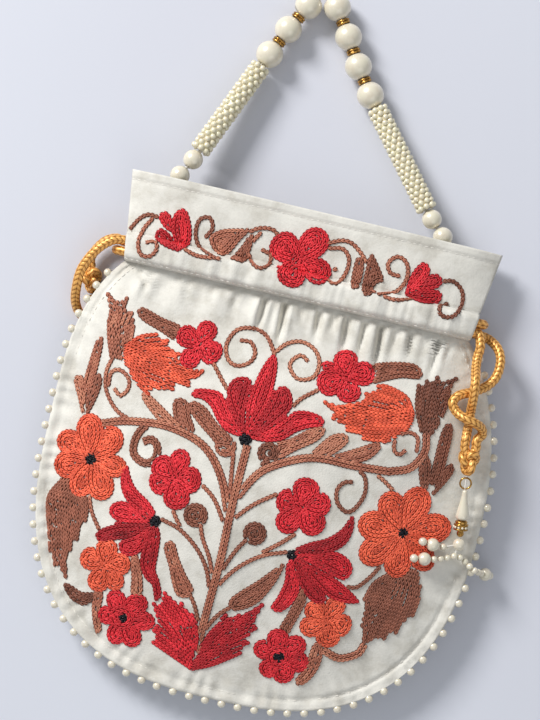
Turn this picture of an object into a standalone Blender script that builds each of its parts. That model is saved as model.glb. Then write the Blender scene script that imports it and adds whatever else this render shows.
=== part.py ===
"""An embroidered drawstring bag with a beaded handle, lying on its back.

X runs across the bag, Y from its round bottom to its mouth, and Z up from the surface that it lies on.
The origin is on that surface, under the middle of the bag's widest line.
"""

import math

import bmesh
import bpy
from mathutils import Vector
from mathutils.bvhtree import BVHTree
from mathutils.geometry import delaunay_2d_cdt

# Sizes of the cloth bag, in metres
BODY_HALF_WIDTH = 0.109
BODY_HALF_HEIGHT = 0.115
BODY_ROUNDNESS = 2.6
NECK_Y = 0.0845
CASING_HEIGHT = 0.014
BAND_HEIGHT = 0.0445
BAND_TOP_HALF_WIDTH = 0.093
BAND_SHIFT = -0.004
HEM_HEIGHT = 0.004
HEM_THICKENING = 0.0005
SEAM_FLANGE = 0.005
CLOTH = 0.0012
LINING = 0.0006
LINING_CLEARANCE = 0.0012
GAP = 0.0003
FRONT_BULGE = 0.0205
MOUTH_HALF_GAP = 0.004
MOUTH_FLARE = 0.0015
STATIONS = 10
NECK_STATIONS = (-9, -8, -7, -6, -3, 0, 3, 6, 7, 8, 9)
LATTICE = 0.0235
OUTLINE_COUNT = 42
FOLD_SPACING = 0.0230
GATHER_DEPTH = 0.0022
GATHER_LENGTH = 0.027
CASING_SHOULDER = 6
LINING_REACH = 0.95
FLAT_BACK = 0.55

# Sizes of the drawstrings and their tassels
CORD_DIAMETER = 0.0048
LANE_OFFSET = 0.0026
HIDDEN_END = 0.006
LEG_OVERHANG = 0.0026
KNOT_LENGTH = 0.0140
KNOT_WIDTH = 0.0105
LINK_RADIUS = 0.0027
LINK_WIRE = 0.0005
DROP_LENGTH = 0.0150
DROP_DIAMETER = 0.0066
RONDELLE_DIAMETER = 0.0072
RONDELLE_LENGTH = 0.0030
RONDELLE_STACK = 0.0084
TASSEL_PEARL = 0.0062
STRAND_BEAD = 0.0034
STRAND_PEARL = 0.0066
STRAND_TIP = 0.0042
STRAND_THREAD = 0.0008

# Sizes of the handle and the edging
HANDLE_PEARL = 0.0136
END_PEARL = 0.0098
BEAD_CLEARANCE = 0.0005
RING_DIAMETER = 0.0074
RING_WIRE = 0.0022
STRING_DIAMETER = 0.0016
SLEEVE_DIAMETER = 0.0110
SLEEVE_BEAD = 0.0030
ANCHOR_RISE = 0.0025
EDGE_PEARL = 0.0042
EDGE_PEARL_PITCH = 0.0082
EDGE_THREAD = 0.0009
EDGING_REACH = 0.0052

# Sizes of the embroidery, which is laid out in millimetres from the middle of the band's top stitching
MM = 0.001
# The cords and the embroidery are drawn in millimetres on a bag with these measures, and stretched to its own
DRAWN_HALF_WIDTH = 109
DRAWN_HALF_HEIGHT = 115
DRAWN_NECK = 84.5
DRAWN_BAND = 44.5
DRAWN_MOUTH_HALF_WIDTH = 90
STRETCH = BODY_HALF_WIDTH / DRAWN_HALF_WIDTH
STITCH_GAP = 0.0005
STITCH_HEIGHT = 0.0009

# What follows from them
RIM = CLOTH + GAP / 2
NECK_RISE = MOUTH_HALF_GAP + LINING + LINING_CLEARANCE
TUNNEL_RISE = CORD_DIAMETER + 2 * GAP
BAND_OFFSET = GAP + CLOTH
SEAM_Z = NECK_RISE + RIM + BAND_OFFSET + TUNNEL_RISE
CASING_Y = NECK_Y + CASING_HEIGHT / 2
CASING_TOP = NECK_Y + CASING_HEIGHT
BAND_TOP = NECK_Y + BAND_HEIGHT
HANDLE_AXIS_Y = BAND_TOP + ANCHOR_RISE
BORE = STRING_DIAMETER / 2 + GAP

COLOURS = {
    "velvet": ((0.86, 0.84, 0.80), 0.75, 0.0),
    "satin": ((0.90, 0.88, 0.83), 0.45, 0.0),
    "pearl": ((0.91, 0.88, 0.79), 0.18, 0.0),
    "gold": ((0.80, 0.60, 0.28), 0.28, 1.0),
    "gold_cord": ((0.84, 0.56, 0.22), 0.40, 0.4),
    "thread": ((0.88, 0.85, 0.78), 0.60, 0.0),
    "red": ((0.74, 0.05, 0.07), 0.50, 0.0),
    "orange": ((0.85, 0.17, 0.09), 0.50, 0.0),
    "brown": ((0.36, 0.13, 0.07), 0.55, 0.0),
    "black": ((0.02, 0.02, 0.03), 0.55, 0.0),
}


def smoothstep(low, high, value):
    t = min(1.0, max(0.0, (value - low) / (high - low)))
    return t * t * (3 - 2 * t)


def blend(a, b, t):
    return a + (b - a) * t


def material(name):
    found = bpy.data.materials.get(name)
    if found:
        return found
    colour, roughness, metallic = COLOURS[name]
    made = bpy.data.materials.new(name)
    made.use_nodes = True
    shader = made.node_tree.nodes["Principled BSDF"]
    shader.inputs["Base Color"].default_value = (*colour, 1.0)
    shader.inputs["Roughness"].default_value = roughness
    shader.inputs["Metallic"].default_value = metallic
    made.diffuse_color = (*colour, 1.0)
    return made


def add_object(name, data, *materials):
    made = bpy.data.objects.new(name, data)
    bpy.data.collections["potli_bag"].objects.link(made)
    for each in materials:
        made.data.materials.append(material(each))
    return made


def object_from(bm, name, *materials):
    mesh = bpy.data.meshes.new(name)
    bm.to_mesh(mesh)
    bm.free()
    mesh.shade_smooth()
    return add_object(name, mesh, *materials)


def thicken(obj, thickness, offset=-1.0):
    solidify = obj.modifiers.new("thickness", "SOLIDIFY")
    solidify.thickness = thickness
    solidify.offset = offset
    return obj


# The form of the bag: half widths and half thicknesses about the seam's plane


def centre_x(y):
    """The band lies a little to one side of the body."""
    return BAND_SHIFT * smoothstep(0, NECK_Y, y)


def body_half_width(y):
    share = min(1.0, abs(y) / BODY_HALF_HEIGHT) ** BODY_ROUNDNESS
    return BODY_HALF_WIDTH * (1 - share) ** (1 / BODY_ROUNDNESS)


def half_width(y):
    if y <= NECK_Y:
        return body_half_width(y)
    return blend(body_half_width(NECK_Y), BAND_TOP_HALF_WIDTH, (y - NECK_Y) / BAND_HEIGHT)


def share_of_radius(x, y):
    """0 on the centre line and 1 on the outline."""
    if y < 0:
        p = BODY_ROUNDNESS
        return ((abs(x) / BODY_HALF_WIDTH) ** p + (abs(y) / BODY_HALF_HEIGHT) ** p) ** (1 / p)
    return abs(x - centre_x(y)) / half_width(y)


def inside_flange(x, y):
    """The same share, measured to the inner edge of the flat seam."""
    flange = SEAM_FLANGE / BODY_HALF_WIDTH * (1 - smoothstep(0, NECK_Y, y))
    return min(1.0, share_of_radius(x, y) / (1 - flange))


def fullness(x, y, body_rise, crown):
    """Height of the outside over the seam's flat rim, body_rise high on the body and lower at the neck."""
    up = smoothstep(0.15 * NECK_Y, NECK_Y, y)
    mouth = smoothstep(CASING_TOP, BAND_TOP, y)
    rise = blend(blend(body_rise, NECK_RISE, up), NECK_RISE + MOUTH_FLARE, mouth)
    return rise * blend(crown, 1 - inside_flange(x, y) ** 6, up)


def front_base(x, y):
    share = inside_flange(x, y)
    return RIM + fullness(x, y, FRONT_BULGE, (1 - share * share) ** 1.2)


def back_base(x, y):
    crown = 1 - smoothstep(FLAT_BACK, 1, inside_flange(x, y))
    return RIM + fullness(x, y, SEAM_Z - RIM, crown)


def across(x, y):
    """-1 at the left edge, 0 on the centre line and 1 at the right edge."""
    return (x - centre_x(y)) / half_width(y)


def station(number, y):
    """X of one of the evenly spaced lines that run up the neck, where the gathers have their crests and valleys."""
    return centre_x(y) + number / STATIONS * half_width(y)


def gathers(x, y):
    """Soft pleats that run down from the neck and die away."""
    fade = smoothstep(NECK_Y - GATHER_LENGTH, NECK_Y - 0.4 * GATHER_LENGTH, y)
    fade *= 1 - smoothstep(NECK_Y - 0.3 * GATHER_LENGTH, NECK_Y - GAP, y)
    side = 1 - smoothstep(0.75, 0.95, abs(across(x, y)))
    return GATHER_DEPTH * fade * side * (0.5 + 0.5 * math.cos(math.pi * STATIONS * across(x, y)))


def front_panel_height(x, y):
    return front_base(x, y) + gathers(x, y)


def back_panel_height(x, y):
    return back_base(x, y) + gathers(x, y) * smoothstep(0, 1, (SEAM_Z - back_base(x, y)) / GATHER_DEPTH - 1)


def tunnel(y):
    """Rise of the drawstring's casing over the band."""
    t = (y - CASING_Y) / (CASING_HEIGHT / 2)
    return TUNNEL_RISE * max(0.0, 1 - t**CASING_SHOULDER)


def hem(y):
    return HEM_THICKENING * smoothstep(BAND_TOP - HEM_HEIGHT - 0.001, BAND_TOP - HEM_HEIGHT, y)


def front_band_height(x, y):
    return front_base(x, y) + BAND_OFFSET + tunnel(y) + hem(y)


def back_band_height(x, y):
    return back_base(x, y) + BAND_OFFSET + tunnel(y) + hem(y)


def lining_height(base, x, y):
    """The lining follows the panels from inside and closes before it reaches their seam."""
    share = min(1.0, inside_flange(x, y) / LINING_REACH)
    return max(0.0, base(x, y) - CLOTH - LINING_CLEARANCE) * (1 - share**8)


# Outlines and the points that sheets are made from


def body_outline(reach=1.0, steps=240):
    """The round outline from the neck's left end, under the bottom, to its right end."""
    p = BODY_ROUNDNESS
    line = []
    for i in range(steps + 1):
        angle = math.pi * (0.75 + 1.5 * i / steps)
        c, s = math.cos(angle), math.sin(angle)
        x = BODY_HALF_WIDTH * math.copysign(abs(c) ** (2 / p), c)
        y = BODY_HALF_HEIGHT * math.copysign(abs(s) ** (2 / p), s)
        if y <= NECK_Y:
            line.append(Vector((x * reach + centre_x(y * reach), y * reach)))
    return line


def lengths_along(line):
    total = [0.0]
    for a, b in zip(line, line[1:]):
        total.append(total[-1] + (b - a).length)
    return total


def point_at(line, total, distance):
    for i in range(1, len(line)):
        if distance <= total[i] or i == len(line) - 1:
            t = (distance - total[i - 1]) / (total[i] - total[i - 1])
            return line[i - 1].lerp(line[i], t), (line[i] - line[i - 1]).normalized()
    return line[-1], (line[-1] - line[-2]).normalized()


def spaced(line, count):
    total = lengths_along(line)
    return [point_at(line, total, total[-1] * i / count)[0] for i in range(count + 1)]


def lattice(spacing, low, high, keep):
    """Points of a staggered lattice between two heights that keep() accepts."""
    found = []
    rows = max(1, round((high - low) / (spacing * 0.87)))
    for row in range(rows + 1):
        y = blend(low, high, row / rows)
        columns = round(BODY_HALF_WIDTH / spacing) + 1
        for column in range(-columns, columns + 1):
            x = (column + 0.5 * (row % 2)) * spacing
            if keep(x, y):
                found.append(Vector((x, y)))
    return found


def triangulated(outlines, points=(), holes=()):
    """Triangles inside the overlapping outlines, and outside the holes."""
    places, faces = [], []
    for outline in (*outlines, *holes):
        faces.append(list(range(len(places), len(places) + len(outline))))
        places.extend(Vector(p) for p in outline)
    places.extend(Vector(p) for p in points)
    places, _, triangles, _, _, owners = delaunay_2d_cdt(places, [], faces, 0, 1e-7)
    return places, [tri for tri, own in zip(triangles, owners) if own and max(own) < len(outlines)]


def draped(bm, outlines, points, height, flip=False, holes=()):
    """Adds the triangulated outlines to bm with their vertices at height(x, y)."""
    places, triangles = triangulated(outlines, points, holes)
    verts = {i: bm.verts.new((*places[i], height(*places[i]))) for i in sorted({i for t in triangles for i in t})}
    for tri in triangles:
        a, b, c = (places[i] for i in tri)
        turned = (b - a).cross(c - a) < 0
        bm.faces.new([verts[i] for i in (tri if turned == flip else reversed(tri))])
    return bm


def cloth_points(reach):
    """Points shared by the sheets of cloth: a lattice over the body and lines up the neck, out to a share of it."""
    rows = [NECK_Y - GATHER_LENGTH * t for t in (1.0, 0.7, 0.35, 0.12)]
    points = lattice(LATTICE, -0.1, rows[0] - LATTICE / 2, lambda x, y: inside_flange(x, y) < reach)
    for y in rows:
        stations = [Vector((station(i, y), y)) for i in range(1 - STATIONS, STATIONS)]
        points += [p for p in stations if inside_flange(p.x, p.y) < reach]
    for y in (NECK_Y, CASING_Y):
        points += [Vector((station(i, y), y)) for i in range(1 - STATIONS, STATIONS)]
    return points


def panel(name, height, side):
    """One velvet panel: a round outline, and above the neck a tongue that backs the drawstring's casing."""
    outline = spaced(body_outline(), OUTLINE_COUNT)
    tongue = 0.0012
    up = [Vector((centre_x(y) + half_width(y) - tongue, y)) for y in (NECK_Y + tongue, CASING_TOP)]
    top = [Vector((station(i, CASING_TOP), CASING_TOP)) for i in range(STATIONS - 1, -STATIONS, -1)]
    down = [Vector((centre_x(p.y) * 2 - p.x, p.y)) for p in reversed(up)]
    flange = spaced(body_outline(1 - SEAM_FLANGE / BODY_HALF_WIDTH), OUTLINE_COUNT)[2:-2]
    points = flange + cloth_points(0.93)
    bm = draped(bmesh.new(), [outline + up + top + down], points, lambda x, y: SEAM_Z + side * height(x, y), side < 0)
    return thicken(object_from(bm, name, "velvet"), CLOTH)


def band_rows():
    casing = [CASING_Y + CASING_HEIGHT / 2 * t for t in (-1, -0.8, -0.45, 0.45, 0.8, 1)]
    hem_foot = BAND_TOP - HEM_HEIGHT
    return casing + [(CASING_TOP + hem_foot) / 2, hem_foot - 0.001, hem_foot, BAND_TOP]


def band(name, height, side):
    """The upright band over the neck, with the drawstring's casing along its foot and a hem at its top."""
    rows, columns = band_rows(), (-STATIONS, *NECK_STATIONS, STATIONS)
    bm = bmesh.new()
    bmesh.ops.create_grid(bm, x_segments=len(columns) - 1, y_segments=len(rows) - 1, size=1)
    for vert in bm.verts:
        y = rows[round((vert.co.y + 1) / 2 * (len(rows) - 1))]
        x = station(columns[round((vert.co.x + 1) / 2 * (len(columns) - 1))], y)
        vert.co = (x, y, SEAM_Z + side * height(x, y))
    if side < 0:
        bmesh.ops.reverse_faces(bm, faces=bm.faces[:])
    return thicken(object_from(bm, name, "velvet"), CLOTH)


def lining():
    """A thin pouch inside the panels, open at the mouth."""
    reach = LINING_REACH * (1 - SEAM_FLANGE / BODY_HALF_WIDTH)
    top = BAND_TOP - HEM_HEIGHT
    lower = spaced([p for p in body_outline(reach) if p.y < 0.8 * NECK_Y], OUTLINE_COUNT - 4)
    side = [NECK_Y, CASING_Y, blend(CASING_TOP, top, 0.5), top]
    right = [Vector((centre_x(y) + LINING_REACH * half_width(y), y)) for y in side]
    left = [Vector((2 * centre_x(p.y) - p.x, p.y)) for p in right]
    mouth = [Vector((station(i, top), top)) for i in range(STATIONS - 2, 1 - STATIONS, -1)]
    points = cloth_points(0.86 * LINING_REACH)
    points = [p for p in points if abs(across(p.x, p.y)) < 0.95 * LINING_REACH]
    closed = {(round(p.x, 6), round(p.y, 6)) for p in lower + right + left}

    def sheet(base, side_of):
        def height(x, y):
            on_edge = (round(x, 6), round(y, 6)) in closed
            return SEAM_Z if on_edge else SEAM_Z + side_of * lining_height(base, x, y)

        return height

    bm = bmesh.new()
    for base, side_of in ((front_base, 1), (back_base, -1)):
        draped(bm, [lower + right + mouth + left[::-1]], points, sheet(base, side_of), side_of < 0)
    bmesh.ops.remove_doubles(bm, verts=bm.verts[:], dist=1e-6)
    return thicken(object_from(bm, "lining", "satin"), LINING)


def tube(name, points, diameter, mat, sides=2, radii=None):
    """A wire, cord or string of beads along points: a curve with filled caps."""
    curve = bpy.data.curves.new(name, "CURVE")
    curve.dimensions = "3D"
    curve.bevel_depth = diameter / 2
    curve.bevel_resolution = sides
    curve.use_fill_caps = True
    spline = curve.splines.new("POLY")
    spline.points.add(len(points) - 1)
    for i, point in enumerate(points):
        spline.points[i].co = (*point, 1)
        spline.points[i].radius = radii[i] / (diameter / 2) if radii else 1.0
    return add_object(name, curve, mat)


def beaded(name, line, beads, thread, mat, sides=1):
    """Round beads on a thread along a line. beads lists each one's distance along it and its diameter."""
    total = lengths_along(line)
    points, radii = [point_at(line, total, 0)[0]], [thread / 2]
    for distance, diameter in beads:
        reach = math.sqrt((diameter / 2) ** 2 - (thread / 2) ** 2)
        large = ((-1, 0), (-0.4, 0.92), (0.4, 0.92), (1, 0))
        for t, share in large if diameter > EDGE_PEARL else ((-1, 0), (0, 1), (1, 0)):
            points.append(point_at(line, total, distance + t * reach)[0])
            radii.append(max(thread / 2, share * diameter / 2))
    points.append(point_at(line, total, total[-1])[0])
    radii.append(thread / 2)
    return tube(name, points, max(d for _, d in beads), mat, sides, radii)


def pearl_edging():
    """Pearls strung along the outer edge of the seam, all the way round the body."""
    outward = EDGE_PEARL / 2 + GAP
    outline = spaced(body_outline(), 120)
    line = []
    for i, point in enumerate(outline):
        ahead = outline[min(i + 1, len(outline) - 1)] - outline[max(i - 1, 0)]
        normal = Vector((-ahead.y, ahead.x)).normalized() * -1
        if point.y < NECK_Y - EDGE_PEARL:
            line.append(Vector((*(point + normal * outward), SEAM_Z)))
    total = lengths_along(line)[-1]
    count = round((total - EDGE_PEARL) / EDGE_PEARL_PITCH)
    start = EDGE_PEARL / 2 + 0.0004
    step = (total - 2 * start) / count
    beads = [(start + step * i, EDGE_PEARL) for i in range(count + 1)]
    return beaded("pearl_edging", line, beads, EDGE_THREAD, "pearl")


# Turned pieces: beads, pearls, rings and drops


def turned(name, profile, steps, mat, closed=True):
    """A profile in the XZ plane spun round Z. The profile runs down its outer side."""
    mesh = bpy.data.meshes.new(name)
    last = len(profile) - 1
    edges = [(i, i + 1) for i in range(last)] + ([(last, 0)] if closed else [])
    mesh.from_pydata([(r, 0, z) for r, z in profile], edges, [])
    made = add_object(name, mesh, mat)
    screw = made.modifiers.new("turn", "SCREW")
    screw.steps = screw.render_steps = steps
    screw.use_merge_vertices = True
    screw.merge_threshold = 1e-6
    screw.use_smooth_shade = True
    return made


def bored_pearl(name, diameter):
    """A round pearl with a straight hole for the string."""
    radius = diameter / 2
    start = math.asin(BORE / radius)
    angles = [blend(start, math.pi - start, i / 6) for i in range(7)]
    return turned(name, [(radius * math.sin(a), radius * math.cos(a)) for a in angles], 10, "pearl")


def wire_ring(name, outer_diameter, wire, steps=10, sides=6):
    """A ring of round wire about Z."""
    middle = (outer_diameter - wire) / 2
    profile = []
    for i in range(sides):
        angle = math.pi / 2 - 2 * math.pi * i / sides
        profile.append((middle + wire / 2 * math.cos(angle), wire / 2 * math.sin(angle)))
    return turned(name, profile, steps, "gold")


def place(obj, where, along, parent=None):
    """Turns the piece's own Z to a direction and puts it at a point."""
    obj.rotation_mode = "QUATERNION"
    obj.rotation_quaternion = Vector(along).to_track_quat("Z", "Y")
    obj.location = where
    if parent:
        keep_parent(obj, parent)
    return obj


def keep_parent(obj, parent):
    obj.parent = parent
    obj.matrix_parent_inverse.translation = -parent.location


def empty(name, location):
    made = bpy.data.objects.new(name, None)
    bpy.data.collections["potli_bag"].objects.link(made)
    made.location = location
    return made


# The handle: pearls, rings and beaded sleeves on one string. Places are across the bag and up from its mouth

LEFT_ENDS = (Vector((-0.0740, 0.0)), Vector((-0.0695, 0.00915)))
RIGHT_ENDS = (Vector((0.0585, 0.0)), Vector((0.0514, 0.0073)))
LARGE_PEARLS = (
    Vector((-0.0449, 0.0690)),
    Vector((-0.0387, 0.0831)),
    Vector((-0.0317, 0.0968)),
    Vector((-0.0175, 0.0990)),
    Vector((-0.0089, 0.0862)),
    Vector((-0.0008, 0.0731)),
    Vector((0.0082, 0.0606)),
)
TOP_LEFT_PEARL = 4
TOP_RING = Vector((-0.0249, 0.1069))


def on_handle(spot):
    """The handle leaves the mouth at the seam's height and comes down to lie on its large pearls."""
    z = blend(SEAM_Z, HANDLE_PEARL / 2, min(1.0, spot.y / LARGE_PEARLS[-1].y))
    return Vector((spot.x, HANDLE_AXIS_Y + spot.y, z))


def bead_sleeve(name, start, end, parent):
    """A tube of small woven beads: rows of bumps, each row half a bead on from the last."""
    long = (end - start).length
    around = 2 * round(math.pi * (SLEEVE_DIAMETER - SLEEVE_BEAD) / SLEEVE_BEAD / 1.7)
    rows = 2 * round(long / SLEEVE_BEAD / 2)
    rings = rows + 3
    bm = bmesh.new()
    bmesh.ops.create_grid(bm, x_segments=around, y_segments=rings, size=1)
    for vert in bm.verts:
        column = round((vert.co.x + 1) / 2 * around) % around
        row = round((vert.co.y + 1) / 2 * rings)
        radius = SLEEVE_DIAMETER / 2 - (SLEEVE_BEAD / 2 if (row + column) % 2 else 0)
        if row in (0, rings - 1, rings):
            radius = STRING_DIAMETER / 2 + 2 * GAP
        height = long * min(max(row - 1, 0), rows) / rows if row < rings else 0
        angle = 2 * math.pi * column / around
        vert.co = (radius * math.cos(angle), radius * math.sin(angle), height)
    bmesh.ops.remove_doubles(bm, verts=bm.verts[:], dist=1e-6)
    bmesh.ops.recalc_face_normals(bm, faces=bm.faces[:])
    return place(object_from(bm, name, "pearl"), start, end - start, parent)


def handle():
    hub = empty("handle_hinge", (0, HANDLE_AXIS_Y, SEAM_Z))
    names = ["end_pearl_left_1", "end_pearl_left_2"]
    names += [f"handle_pearl_{i + 1}" for i in range(len(LARGE_PEARLS))]
    names += ["end_pearl_right_2", "end_pearl_right_1"]
    spots = [on_handle(p) for p in (*LEFT_ENDS, *LARGE_PEARLS, *reversed(RIGHT_ENDS))]
    first_large, last_large = 2, len(spots) - 3
    top = on_handle(TOP_RING)
    over_top = [top - Vector((RING_WIRE * 0.8, 0, 0)), top + Vector((RING_WIRE * 0.8, 0, 0))]
    room = (END_PEARL / 2 + BEAD_CLEARANCE, HANDLE_PEARL / 2 + BEAD_CLEARANCE)
    string, rings = [], 0
    for i, (name, spot) in enumerate(zip(names, spots)):
        large = first_large <= i <= last_large
        diameter = HANDLE_PEARL if large else END_PEARL
        previous, following = spots[max(i - 1, 0)], spots[min(i + 1, len(spots) - 1)]
        if i == TOP_LEFT_PEARL:
            following = over_top[0]
        if i == TOP_LEFT_PEARL + 1:
            previous = over_top[1]
        before, after = (spot - previous).normalized(), (following - spot).normalized()
        along = (before + after).normalized()
        place(bored_pearl(name, diameter), spot, along, hub)
        reach = along * diameter / 2
        string += [spot if i == 0 else spot - reach, spot if i == len(spots) - 1 else spot + reach]
        if i + 1 in (first_large, last_large + 1):
            ends = [spot + after * room[i > first_large], following - after * room[i < first_large]]
            bead_sleeve("bead_sleeve_left" if i < first_large else "bead_sleeve_right", *ends, hub)
            string += ends
        elif i == TOP_LEFT_PEARL:
            string += [over_top[0], over_top[1]]
            rings += 1
            place(wire_ring(f"spacer_ring_{rings}", RING_DIAMETER, RING_WIRE), top, Vector((1, 0, 0)), hub)
        elif first_large <= i < last_large:
            string.append((spot + following) / 2)
            rings += 1
            place(wire_ring(f"spacer_ring_{rings}", RING_DIAMETER, RING_WIRE), string[-1], after, hub)
    keep_parent(tube("handle_string", string, STRING_DIAMETER, "thread", 0), hub)


def handle_anchor(name, spot):
    """A thread sewn to the lining inside the mouth, which the handle's first pearl sits on."""
    top = on_handle(spot)
    foot_y = BAND_TOP - 2.5 * HEM_HEIGHT
    lining_face = SEAM_Z + lining_height(front_base, top.x, foot_y) - 2 * LINING - GAP
    route = [
        (top.x, top.y - END_PEARL / 2 - GAP, SEAM_Z),
        (top.x, foot_y + 0.0012, SEAM_Z),
        (top.x, foot_y + 0.0003, SEAM_Z + 0.0009),
        (top.x, foot_y, lining_face),
    ]
    return tube(name, route, STRING_DIAMETER, "thread", 1)


# The drawstrings


def smooth_route(stops, step):
    """A smooth curve through the stops, with a point every step."""
    stops = [Vector(s) for s in stops]
    padded = [stops[0] * 2 - stops[1], *stops, stops[-1] * 2 - stops[-2]]
    fine = []
    for a, b, c, d in zip(padded, padded[1:], padded[2:], padded[3:]):
        for t in (i / 8 for i in range(8)):
            bend = (2 * a - 5 * b + 4 * c - d) * t**2 + (3 * b - a - 3 * c + d) * t**3
            fine.append(0.5 * (2 * b + (c - a) * t + bend))
    fine.append(stops[-1])
    return spaced(fine, max(2, round(lengths_along(fine)[-1] / step)))


def in_casing(x, lane, side_of):
    """A point on a drawstring's centre line inside the front or the back casing."""
    lift = front_base(x, CASING_Y) + GAP + CORD_DIAMETER / 2
    return Vector((x, CASING_Y + lane, SEAM_Z + side_of * lift))


def casing_end(side, inset):
    return centre_x(CASING_Y) + side * (half_width(CASING_Y) - inset)


def drawstring_channel(name, lane, side):
    """The hidden run of one drawstring: through the front casing, round the far side, back through the other."""
    near, far = casing_end(side, HIDDEN_END), casing_end(-side, -GAP)
    run = [near, *(station(-side * i, CASING_Y) for i in NECK_STATIONS), far]
    rise = in_casing(far, lane, 1).z - SEAM_Z
    turn = []
    for angle in (math.pi * 0.25, math.pi * 0.5, math.pi * 0.75):
        x, z = far - side * rise * math.sin(angle), SEAM_Z + rise * math.cos(angle)
        turn.append(Vector((x, CASING_Y + lane, z)))
    front = [in_casing(x, lane, 1) for x in run]
    back = [in_casing(x, lane, -1) for x in reversed(run)]
    return tube(name, front + turn + back, CORD_DIAMETER, "gold_cord", 1)


def ground(x, y):
    """Height of whatever lies under a point: the bag's front with its embroidery, its edging, or nothing."""
    share = share_of_radius(x, y)
    if y > NECK_Y or share > 1 + EDGING_REACH / BODY_HALF_WIDTH:
        return 0.0
    if share > 1:
        return SEAM_Z + EDGE_PEARL / 2
    padding = (STITCH_GAP + STITCH_HEIGHT) * (1 - smoothstep(0.93, 0.97, share))
    return SEAM_Z + front_panel_height(x, y) + padding


def resting(x, y, radius):
    """Height of the middle of a ball that lies on the bag, or on the table beside it."""
    highest = radius
    for ring in (0.0, 0.5, 0.9):
        for i in range(8):
            angle = math.pi / 4 * i
            dx, dy = ring * radius * math.cos(angle), ring * radius * math.sin(angle)
            highest = max(highest, ground(x + dx, y + dy) + radius * math.sqrt(1 - ring * ring))
    return highest + GAP


def laid(route, radius):
    """Points of a route in millimetres: across, up and how far each is lifted off what it lies on."""
    flat = [(x * STRETCH, y * MM, lift * MM) for x, y, lift in route]
    return [Vector((x, y, resting(x, y, radius) + lift)) for x, y, lift in flat]


def in_air(route):
    """Points of a route in millimetres that hang free of the bag: across, up and over the table."""
    return [Vector((x * STRETCH, y * MM, z * MM)) for x, y, z in route]


def into_knot(centre, along, way, sideways, up=0.0):
    """The last two points of a leg that goes into a knot's end, way 1 for its upper end and -1 for its lower."""
    across_knot = along.normalized().cross(Vector((0, 0, 1))) * sideways + Vector((0, 0, up))
    reach = KNOT_LENGTH / 2 + GAP
    return [centre + way * along.normalized() * (reach + extra) + across_knot for extra in (0.004, 0.0)]


def leg(name, start, route):
    return tube(name, smooth_route(start + route, 0.005), CORD_DIAMETER, "gold_cord", 1)


def knot(name, centre, along):
    """The two ends tied in an overhand knot: a lump with wraps that run round it."""
    bm = bmesh.new()
    bmesh.ops.create_uvsphere(bm, u_segments=12, v_segments=7, radius=0.5)
    for vert in bm.verts:
        angle = math.atan2(vert.co.y, vert.co.x)
        wrap = (1 + 0.09 * math.cos(2 * angle + vert.co.z * 9)) * (1 - 0.18 * vert.co.z)
        vert.co = (vert.co.x * KNOT_WIDTH * wrap, vert.co.y * KNOT_WIDTH * wrap, vert.co.z * KNOT_LENGTH)
    return place(object_from(bm, name, "gold_cord"), centre, along)


def drop_pearl(name):
    """A pear-shaped pearl, narrow at its top."""
    profile = []
    for t in (0, 0.08, 0.25, 0.45, 0.62, 0.78, 0.92, 1):
        swell = math.sin(math.pi * t**1.5) ** 0.75 + 0.2 * (1 - t) * math.sqrt(math.sin(math.pi * t) + 1e-9)
        profile.append((DROP_DIAMETER / 2 * min(1.0, swell) if 0 < t < 1 else 0.0, DROP_LENGTH * (0.5 - t)))
    return turned(name, profile, 10, "pearl", closed=False)


def rondelle(name):
    """A gold drum with softened rims between a flat glass bead and a small round one."""
    r, h, soft = RONDELLE_DIAMETER / 2, RONDELLE_LENGTH / 2, 0.0005
    bead, flat = 0.0017, 0.0010
    profile = [(0, h + 2 * flat), (0.7 * r, h + 2 * flat), (0.83 * r, h + flat), (0.7 * r, h), (r - soft, h)]
    profile += [(r, h - soft), (r, soft - h), (r - soft, -h), (0.6 * bead, -h), (bead, -h - bead)]
    profile += [(0.6 * bead, -h - 1.8 * bead), (0, -h - 2 * bead)]
    middle = (2 * flat - 2 * bead) / 2
    return turned(name, [(x, z - middle) for x, z in profile], 10, "gold", closed=False)


def round_pearl(name, diameter):
    angles = [math.pi * i / 7 for i in range(8)]
    profile = [(diameter / 2 * math.sin(a), diameter / 2 * math.cos(a)) for a in angles]
    profile[0], profile[-1] = (0.0, diameter / 2), (0.0, -diameter / 2)
    return turned(name, profile, 10, "pearl", closed=False)


def strand(name, line, first, last=()):
    """A strand of small beads between larger ones. first and last give the larger beads' sizes from each tip."""
    total = lengths_along(line)[-1]
    beads, low, high = [], 0.0, total
    for size in first:
        beads.append((low + size / 2, size))
        low += size
    for size in last:
        beads.append((high - size / 2, size))
        high -= size
    count = int((high - low) / STRAND_BEAD)
    beads += [(low + (high - low) * (i + 0.5) / count, STRAND_BEAD) for i in range(count)]
    return beaded(name, line, sorted(beads), STRAND_THREAD, "pearl")


def below_knot(side):
    """Where a tassel's link hangs, in line with its knot."""
    centre, along = KNOTS[side]
    return centre - along.normalized() * (KNOT_LENGTH / 2 + GAP + LINK_RADIUS + LINK_WIRE / 2)


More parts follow.
